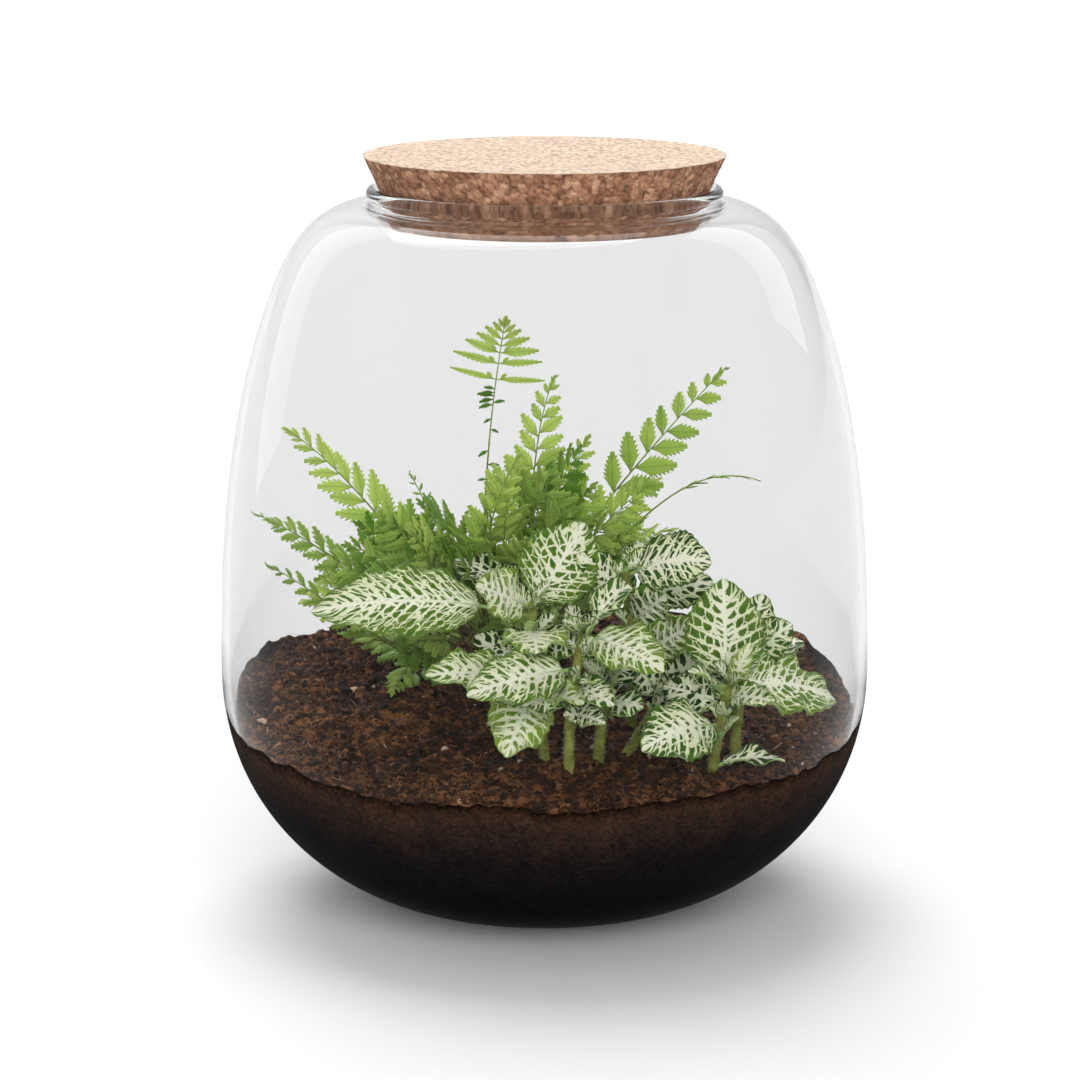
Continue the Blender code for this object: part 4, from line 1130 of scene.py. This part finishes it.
def veined_leaf(settings):
    """Fittonia leaf: thin and matt, green with a raised cream midrib, side veins that branch into a fine net,
    nearly white near the midrib, and a plain green margin."""
    made, tree = new_material("fittonia_leaf_face")
    across = put(tree, "ShaderNodeAttribute", attribute_name="marks")
    run = put(tree, "ShaderNodeAttribute", attribute_name="blade")
    a = put(tree, "ShaderNodeSeparateXYZ", {0: across.outputs["Vector"]}).outputs
    b = put(tree, "ShaderNodeSeparateXYZ", {0: run.outputs["Vector"]}).outputs
    # a: distance from the midrib in mm, rib count from the base, darkness (painted shade for leaves inside
    # the plant, random for the young ones); b: share across, share along, seed
    wobble = put(tree, "ShaderNodeTexNoise", {"Vector": run.outputs["Vector"], "Scale": 3.2, "Detail": 2.0})
    shaken = put(tree, "ShaderNodeMath", {0: wobble, 1: 0.32, 2: a["Y"]}, operation="MULTIPLY_ADD")
    saw = put(tree, "ShaderNodeMath", {0: shaken}, operation="FRACT")
    centred = put(tree, "ShaderNodeMath", {0: saw, 1: 0.5}, operation="SUBTRACT")
    rib_gap = put(tree, "ShaderNodeMath", {0: centred}, operation="ABSOLUTE")
    rib_half = put(tree, "ShaderNodeMapRange", {
        "Value": b["X"], "From Min": 0.0, "From Max": 1.0, "To Min": 0.23, "To Max": 0.1,
    })
    rib = put(tree, "ShaderNodeMapRange", {
        "Value": rib_gap, "From Min": rib_half, "From Max": 0.0, "To Min": 0.0, "To Max": 2.6,
    })
    # the net's meshes are about 3.5 mm by 2.5 mm, longest along the side veins
    net_place = put(tree, "ShaderNodeCombineXYZ", {"X": a["X"], "Y": shaken, "Z": b["Z"]})
    stretched = put(tree, "ShaderNodeVectorMath", {0: net_place, 1: (0.3, 1.15, 9.0)}, operation="MULTIPLY")
    warp = put(tree, "ShaderNodeTexNoise", {"Vector": stretched, "Scale": 1.3})
    bent = put(tree, "ShaderNodeVectorMath", {0: warp.outputs["Color"], 1: (0.8, 0.8, 0.0), 2: stretched},
               operation="MULTIPLY_ADD")
    net = put(tree, "ShaderNodeTexVoronoi", {"Vector": bent, "Scale": 1.0}, feature="DISTANCE_TO_EDGE")
    net_half = put(tree, "ShaderNodeMapRange", {
        "Value": b["X"], "From Min": 0.0, "From Max": 1.0, "To Min": 0.15, "To Max": 0.04,
    })
    net_line = put(tree, "ShaderNodeMapRange", {
        "Value": net.outputs["Distance"], "From Min": net_half, "From Max": 0.0, "To Min": 0.0, "To Max": 2.4,
    })
    mid = put(tree, "ShaderNodeMapRange", {"Value": a["X"], "From Min": 0.9, "From Max": 0.35})
    first = put(tree, "ShaderNodeMath", {0: rib, 1: net_line}, operation="MAXIMUM")
    margin = put(tree, "ShaderNodeMapRange", {"Value": b["X"], "From Min": 0.97, "From Max": 0.82})
    kept = put(tree, "ShaderNodeMath", {0: first, 1: margin}, operation="MULTIPLY")
    veins = put(tree, "ShaderNodeMath", {0: kept, 1: mid}, operation="MAXIMUM", use_clamp=True)
    place = put(tree, "ShaderNodeTexCoord")
    mottle = put(tree, "ShaderNodeTexNoise", {
        "Vector": place.outputs["Object"], "Scale": 1 / 0.004, "Detail": 3.0,
    })
    # painted shade: a higher darkness mark takes the ground down the ramp to dark green
    light = put(tree, "ShaderNodeMath", {0: mottle, 1: 0.55, 2: a["Z"]}, operation="MULTIPLY_ADD")
    ground = put(tree, "ShaderNodeValToRGB", {"Fac": light}, stops=[
        (0.3, "#8da843"), (0.55, "#628622"), (0.8, "#3a6312"), (1.0, "#1b3c08"),
    ])
    vein_colour = put(tree, "ShaderNodeMix", {
        0: b["X"], 6: (*settings.vein, 1), 7: (*linear("#e2ebb0"), 1),
    }, data_type="RGBA")
    colour = put(tree, "ShaderNodeMix", {0: veins, 6: ground, 7: vein_colour.outputs[2]}, data_type="RGBA")
    bump = put(tree, "ShaderNodeBump", {
        "Strength": 0.5, "Distance": 0.0003, "Height": veins,
    })
    bump.invert = True
    rough = put(tree, "ShaderNodeMapRange", {"Value": veins, "To Min": 0.42, "To Max": 0.6})
    shader = put(tree, "ShaderNodeBsdfPrincipled", {
        "Base Color": colour.outputs[2], "Roughness": rough, "Normal": bump,
        "Specular IOR Level": 0.35,
    })
    glow = put(tree, "ShaderNodeBsdfTranslucent", {"Color": colour.outputs[2]})
    mixed = put(tree, "ShaderNodeMixShader", {0: 0.18, 1: shader, 2: glow})
    put(tree, "ShaderNodeOutputMaterial", {"Surface": mixed})
    return made


def fleshy_green(name, young, old):
    """Soft green stem or leaf back: matt, pale, with faint darker streaks."""
    made, tree = new_material(name)
    place = put(tree, "ShaderNodeTexCoord")
    streak = put(tree, "ShaderNodeTexNoise", {
        "Vector": place.outputs["Object"], "Scale": 1 / 0.004, "Detail": 4.0, "Roughness": 0.6,
    })
    colour = put(tree, "ShaderNodeValToRGB", {"Fac": streak}, stops=[(0.3, old), (0.65, young)])
    bump = put(tree, "ShaderNodeBump", {"Strength": 0.3, "Distance": 0.0003, "Height": streak.outputs["Fac"]})
    shader = put(tree, "ShaderNodeBsdfPrincipled", {
        "Base Color": colour, "Roughness": 0.55, "Normal": bump, "Specular IOR Level": 0.3,
    })
    put(tree, "ShaderNodeOutputMaterial", {"Surface": shader})
    return made


def stem_line(number, count=5):
    """The stem's midline from the soil's surface up."""
    (x, y), middle, top = STEMS[number]
    base = np.array([x, y, float(soil_height(x, y))])
    middle, top = np.array(middle, float), np.array(top, float)
    return bezier([base, base + (middle - base) * 0.66, top + (middle - top) * 0.66, top], count)


def stem_radius(share):
    return STEM_RADIUS * (1 - STEM_TAPER * share)


def leaf_line(leaf, count):
    """The leaf's midline from the stem's skin to the tip."""
    stem, share, tip, _, arch, _, face = leaf[:7]
    line = stem_line(stem)
    at = at_shares(line, [share])[0]
    i = min(int(share * (len(line) - 1)), len(line) - 2)
    axis = unit(line[i + 1] - line[i])
    tip, face = np.array(tip, float), unit(np.array(face, float))
    chord = tip - at
    out = unit(chord - axis * chord.dot(axis))
    lift = face * arch * np.linalg.norm(chord)
    start = at + out * stem_radius(share) * 0.7
    chord = tip - start
    return bezier([start, start + chord / 3 + lift, tip - chord / 3 + lift, tip], count)


def leaf_blade(shape, line, face, petiole, width, fold, wave, dark, thickness, rib_spacing, seed):
    """A veined blade with a round petiole: folded along its midrib, wavy at its edge, puckered."""
    rng = np.random.default_rng(seed)
    along, side, normal = frames_along(line, face)
    length = np.sum(np.linalg.norm(np.diff(line, axis=0), axis=1)) * (1 - petiole)
    rows = int(np.clip(length * 1.3, 18, 64))
    columns = int(np.clip(width * 1.1, 12, 30)) // 2 * 2 + 1
    v = np.linspace(0, 1, rows)[:, None]
    u = np.linspace(-1, 1, columns)[None]
    shares = petiole * 0.9 + (1 - petiole * 0.9) * v[:, 0]
    mid, along, side, normal = (at_shares(x, shares) for x in (line, along, side, normal))
    half = width / 2 * 2.67 * v**0.6 * (1 - v) ** 0.85
    teeth = max(6, int(length / 2.6))
    half = half * (1 + 0.045 * np.sin(2 * math.pi * teeth * v)) + 0.25
    flat = half * u
    ribs = length / rib_spacing
    phase = ribs * (v - 0.26 * np.abs(u) ** 1.25 * (1 - 0.4 * v)) + np.where(u > 0, 0.5, 0) + rng.random()
    bulge = np.cos(2 * math.pi * phase) * 0.36 * (1 - np.abs(u) ** 4) * np.minimum(1, np.abs(flat) / 2)
    waves = v * length / 14 + rng.random() + 0.35 * (u > 0)
    ripple = 2.3 * wave * np.abs(u) ** 2.5 * np.sin(2 * math.pi * waves)
    ripple = ripple * np.minimum(1, 6 * v) * np.minimum(1, 5 * (1 - v))
    rise = np.abs(flat) * math.sin(fold) - 0.018 * flat**2 * (0.6 - fold) + bulge + ripple
    spread = side[:, None] * (flat * math.cos(fold))[..., None]
    grid = mid[:, None] + spread + normal[:, None] * rise[..., None]
    across, down = np.gradient(grid, axis=1), np.gradient(grid, axis=0)
    normals = unit(np.cross(across, down))
    # Z: how dark the ground is painted, as painted shade for leaves inside the plant
    marks = np.stack([np.abs(flat), phase, np.full(flat.shape, dark)], -1)
    first = shape.count
    sheet(shape, grid, normals, thickness, marks, 0, 1)
    blade = np.stack([
        np.broadcast_to(np.abs(u), flat.shape), np.broadcast_to(v, flat.shape),
        np.full(flat.shape, seed * 0.37),
    ], -1).reshape(-1, 3)
    stalk = at_shares(line, np.linspace(0, petiole + 0.3 * (1 - petiole), 10))
    stalk = stalk - at_shares(normal, np.linspace(0, 0.3, 10)) * 0.45
    tube(shape, stalk, np.linspace(0.85, 0.4, 10), 8, 1)
    return first, np.vstack([blade, blade])


def grown_leaf(shape, leaf, count, settings, seed):
    """One leaf on its stem, from its row of sizes."""
    _, _, _, width, _, petiole, face, fold, wave, dark = leaf
    return leaf_blade(
        shape, leaf_line(leaf, count), face, petiole, width, fold, wave, dark,
        settings.thickness / MM, settings.rib_spacing / MM, seed,
    )


def name_blade(obj, blades):
    """Stores each blade's own coordinates beside its marks."""
    values = np.zeros((len(obj.data.vertices), 3), np.float32)
    for first, blade in blades:
        values[first : first + len(blade)] = blade
    obj.data.attributes.new("blade", "FLOAT_VECTOR", "POINT").data.foreach_set("vector", values.ravel())


class TERRARIUM_OT_veined_leaves(bpy.types.Operator):
    """Grow the Fittonia's veined leaves"""

    bl_idname = "terrarium.veined_leaves"
    bl_label = "Veined leaves"

    def execute(self, context):
        settings = context.scene.terrarium_veined
        face_finish = veined_leaf(settings)
        back_finish = fleshy_green("fittonia_leaf_back", "#b4cc86", "#86a85a")
        for number, leaf in enumerate(LEAVES, 1):
            shape = Shape()
            blade = grown_leaf(shape, leaf, 80, settings, number)
            obj = shape.object(f"veined_leaf_{number:02d}", [face_finish, back_finish])
            name_blade(obj, [blade])
            finish_piece(obj, "fittonia_leaf", f"fittonia_leaf_{number:02d}")
        self.inner_leaves(settings, face_finish, back_finish)
        self.young_leaves(settings, face_finish, back_finish)
        return {"FINISHED"}

    def inner_leaves(self, settings, face_finish, back_finish):
        """Leaves inside the plant, between the large ones, painted darker as painted shade."""
        shape, blades = Shape(), []
        for number, (*place, fold, dark) in enumerate(INNER_LEAVES, 101):
            leaf = (*place, 0.1, 0.1, (0, -0.8, 0.6), fold, 0.8, dark)
            blades.append(grown_leaf(shape, leaf, 60, settings, number))
        obj = shape.object("inner_leaves", [face_finish, back_finish])
        name_blade(obj, blades)
        finish_piece(obj, "fittonia_leaf")

    def young_leaves(self, settings, face_finish, back_finish):
        """Pairs of small folded leaves at the nodes and tops of the stems."""
        rng = np.random.default_rng(77)
        shape, blades = Shape(), []
        for stem in STEMS:
            line = stem_line(stem, 30)
            for share in (0.62, 0.8, 0.97, 1.0):
                at = at_shares(line, [share])[0]
                for _ in range(3):
                    turn = rng.uniform(0, 2 * math.pi)
                    out = unit(np.array([math.cos(turn), math.sin(turn) * 0.9, rng.uniform(0.5, 1.3)]))
                    length = rng.uniform(6, 13) * (0.7 + 0.5 * share)
                    points = bezier([at, at + out * length * 0.4, at + out * length * 0.8,
                                     at + out * length + np.array([0, 0, -0.8])], 24)
                    blades.append(leaf_blade(
                        shape, points, np.array([-out[0] * 0.7, -0.9, 0.8]), 0.12, length * 0.55, 0.45, 0.4,
                        rng.uniform(0.3, 0.8), settings.thickness / MM, 2.6, int(rng.integers(50, 90)),
                    ))
        obj = shape.object("young_leaves", [face_finish, back_finish])
        name_blade(obj, blades)
        finish_piece(obj, "fittonia_leaf")


class TERRARIUM_OT_fleshy_stems(bpy.types.Operator):
    """Grow the Fittonia's hairy stems"""

    bl_idname = "terrarium.fleshy_stems"
    bl_label = "Fleshy stems"

    def execute(self, context):
        green = fleshy_green("fittonia_stem", "#8f9648", "#53581c")
        hair = fleshy_green("stem_hair", "#e9edcf", "#cfd8a8")
        for number in STEMS:
            rng = np.random.default_rng(300 + number)
            line = stem_line(number, 40)
            start = unit(line[0] - line[1])
            line = np.vstack([line[0] + start * np.linspace(10, 1, 6)[:, None], line])
            shares = np.clip((np.arange(len(line)) - 6) / (len(line) - 7), 0, 1)
            radii = stem_radius(shares) * 0.94
            for node in (0.3, 0.62, 0.85):
                radii = radii * (1 + 0.12 * np.exp(-(((shares - node) / 0.035) ** 2)))
            shape = Shape()
            tube(shape, line, radii, 16, 0)
            self.hairs(shape, line, radii, rng)
            piece = shape.object(f"fleshy_stem_{number}", [green, hair])
            finish_piece(piece, "fittonia_stem", f"fittonia_stem_{number}")
        return {"FINISHED"}

    def hairs(self, shape, line, radii, rng):
        """Short pale hairs that stand out from the stem's skin."""
        for _ in range(170):
            share = rng.uniform(0.17, 1)
            at = at_shares(line, [share])[0]
            radius = np.interp(share, np.linspace(0, 1, len(radii)), radii)
            turn = rng.uniform(0, 2 * math.pi)
            out = unit(np.array([math.cos(turn), math.sin(turn), rng.uniform(-0.1, 0.3)]))
            root, end = at + out * radius * 0.95, at + out * (radius + rng.uniform(0.5, 1.1))
            tube(shape, np.array([root, (root + end) / 2, end]), [0.06, 0.045, 0.02], 3, 1)


# ---------------------------------------------------------------- studio

CAMERA_LENS, CAMERA_FILM = 123.56, 36  # mm
CAMERA_PLACE = (-0.00174, -1.40, 0.43368)  # m
CAMERA_PITCH = 11.85  # degrees below the horizon


def studio_floor():
    """Seamless white paper: matt, with a trace of tooth."""
    made, tree = new_material("white_paper")
    place = put(tree, "ShaderNodeTexCoord")
    tooth = put(tree, "ShaderNodeTexNoise", {"Vector": place.outputs["Object"], "Scale": 1 / 0.002})
    bump = put(tree, "ShaderNodeBump", {"Strength": 0.05, "Distance": 0.0002, "Height": tooth.outputs["Fac"]})
    shader = put(tree, "ShaderNodeBsdfPrincipled", {
        "Base Color": (0.7, 0.7, 0.7, 1), "Roughness": 0.9, "Specular IOR Level": 0.1,
        "Normal": bump,
    })
    put(tree, "ShaderNodeOutputMaterial", {"Surface": shader})
    return made


def softbox(name, place, target, size, power, roll=0.0, only_shine=False):
    """A rectangular studio light that looks at a point. An only_shine box shows in reflections and adds no
    diffuse light."""
    light = bpy.data.lights.new(name, "AREA")
    light.shape, (light.size, light.size_y), light.energy = "RECTANGLE", size, power
    obj = bpy.data.objects.new(name, light)
    obj.location = place
    aim = (Vector(target) - Vector(place)).to_track_quat("-Z", "Y")
    obj.rotation_euler = (aim @ Quaternion((0, 0, 1), math.radians(roll))).to_euler()
    obj.visible_diffuse = obj.visible_transmission = not only_shine
    bpy.context.scene.collection.objects.link(obj)
    return obj


def broad_light(name, towards, strength, spread):
    """A far light that shines in one direction, as wide in the sky as its spread in degrees."""
    light = bpy.data.lights.new(name, "SUN")
    light.energy, light.angle = strength, math.radians(spread)
    obj = bpy.data.objects.new(name, light)
    obj.rotation_euler = Vector(towards).to_track_quat("-Z", "Y").to_euler()
    bpy.context.scene.collection.objects.link(obj)
    return obj


class TERRARIUM_OT_studio(bpy.types.Operator):
    """Set up the floor, the lights and the camera"""

    bl_idname = "terrarium.studio"
    bl_label = "Studio"

    def execute(self, context):
        settings = context.scene.terrarium_studio
        world = bpy.data.worlds.new("white_studio")
        world.use_nodes = True
        tree = world.node_tree
        place = put(tree, "ShaderNodeTexCoord")
        parts = put(tree, "ShaderNodeSeparateXYZ", {0: place.outputs["Generated"]})
        walls = put(tree, "ShaderNodeMapRange", {
            "Value": parts.outputs["Z"], "To Min": settings.horizon, "To Max": settings.ceiling,
        })
        side = put(tree, "ShaderNodeMapRange", {
            "Value": parts.outputs["X"], "From Min": -1.0, "From Max": 1.0, "To Min": 1.6, "To Max": 0.7,
        })
        rear = put(tree, "ShaderNodeMapRange", {
            "Value": parts.outputs["Y"], "From Min": 0.2, "From Max": 0.9, "To Min": 1.0, "To Max": 2.1,
        })
        uneven = put(tree, "ShaderNodeMath", {0: side, 1: rear}, operation="MULTIPLY")
        lit = put(tree, "ShaderNodeMath", {0: walls, 1: uneven}, operation="MULTIPLY")
        behind = put(tree, "ShaderNodeMapRange", {
            "Value": parts.outputs["Y"], "From Min": 0.3, "From Max": 0.85, "To Min": 0.03, "To Max": 1.0,
        })
        below = put(tree, "ShaderNodeMapRange", {
            "Value": parts.outputs["Z"], "From Min": -0.25, "From Max": -0.225, "To Min": 0.03,
            "To Max": behind,
        })
        glow = put(tree, "ShaderNodeMapRange", {
            "Value": parts.outputs["Z"], "From Min": -0.06, "From Max": 0.0, "To Min": below,
            "To Max": lit,
        })
        tree.links.new(glow.outputs[0], tree.nodes["Background"].inputs["Strength"])
        tree.nodes["Background"].inputs["Color"].default_value = (1, 1, 1, 1)
        context.scene.world = world

        bpy.ops.mesh.primitive_plane_add(size=24, location=(0, 6, 0))
        floor = context.object
        floor.name = "paper_floor"
        floor.data.materials.append(studio_floor())
        floor.visible_glossy = False

        broad_light("high_light", (0.12, -0.6, -1), settings.high_light, 40)
        fill = broad_light("fill_light", (-0.12, 0.9, -0.42), settings.fill_light, 50)
        fill.visible_glossy = fill.visible_transmission = False
        softbox("left_shine", (-0.65, 0.55, 0.6), (-0.08, -0.05, 0.22), (0.3, 1.2), 1.5, 33, True)
        softbox("right_shine", (0.68, 0.5, 0.68), (0.08, -0.06, 0.24), (0.34, 0.8), 1.9, -38, True)

        camera = bpy.data.cameras.new("camera")
        camera.lens, camera.sensor_width = CAMERA_LENS, CAMERA_FILM
        camera.clip_start = 0.05
        obj = bpy.data.objects.new("camera", camera)
        obj.location = CAMERA_PLACE
        obj.rotation_euler = (math.radians(90 - CAMERA_PITCH), 0, 0)
        context.scene.collection.objects.link(obj)
        context.scene.camera = obj
        context.scene.view_settings.view_transform = "Standard"
        context.scene.view_settings.look = "None"
        return {"FINISHED"}


# ---------------------------------------------------------------- panel and registration

STEPS = (
    TERRARIUM_OT_studio,
    TERRARIUM_OT_glass_jar,
    TERRARIUM_OT_cork_stopper,
    TERRARIUM_OT_potting_soil,
    TERRARIUM_OT_fern,
    TERRARIUM_OT_fleshy_stems,
    TERRARIUM_OT_veined_leaves,
)


class TERRARIUM_PT_panel(bpy.types.Panel):
    """Steps of the terrarium, in order"""

    bl_idname = "TERRARIUM_PT_panel"
    bl_label = "Plant terrarium"
    bl_space_type = "VIEW_3D"
    bl_region_type = "UI"
    bl_category = "Terrarium"

    def draw(self, context):
        column = self.layout.column()
        for name in SETTINGS:
            for prop in getattr(context.scene, name).bl_rna.properties:
                if not prop.is_readonly and prop.identifier != "name":
                    column.prop(getattr(context.scene, name), prop.identifier)
        for step in STEPS:
            column.operator(step.bl_idname)


SETTINGS = {
    "terrarium_jar": JarSettings,
    "terrarium_cork": CorkSettings,
    "terrarium_soil": SoilSettings,
    "terrarium_fern": FernSettings,
    "terrarium_veined": VeinedPlantSettings,
    "terrarium_studio": StudioSettings,
}


def register():
    for kind in (*SETTINGS.values(), *STEPS, TERRARIUM_PT_panel):
        bpy.utils.register_class(kind)
    for name, kind in SETTINGS.items():
        setattr(bpy.types.Scene, name, PointerProperty(type=kind))


def unregister():
    for name in SETTINGS:
        delattr(bpy.types.Scene, name)
    for kind in reversed((*SETTINGS.values(), *STEPS, TERRARIUM_PT_panel)):
        bpy.utils.unregister_class(kind)


def main():
    """Builds the whole terrarium, one operator after another."""
    register()
    for step in STEPS:
        group, name = step.bl_idname.split(".")
        getattr(getattr(bpy.ops, group), name)()


if __name__ == "__main__":
    main()
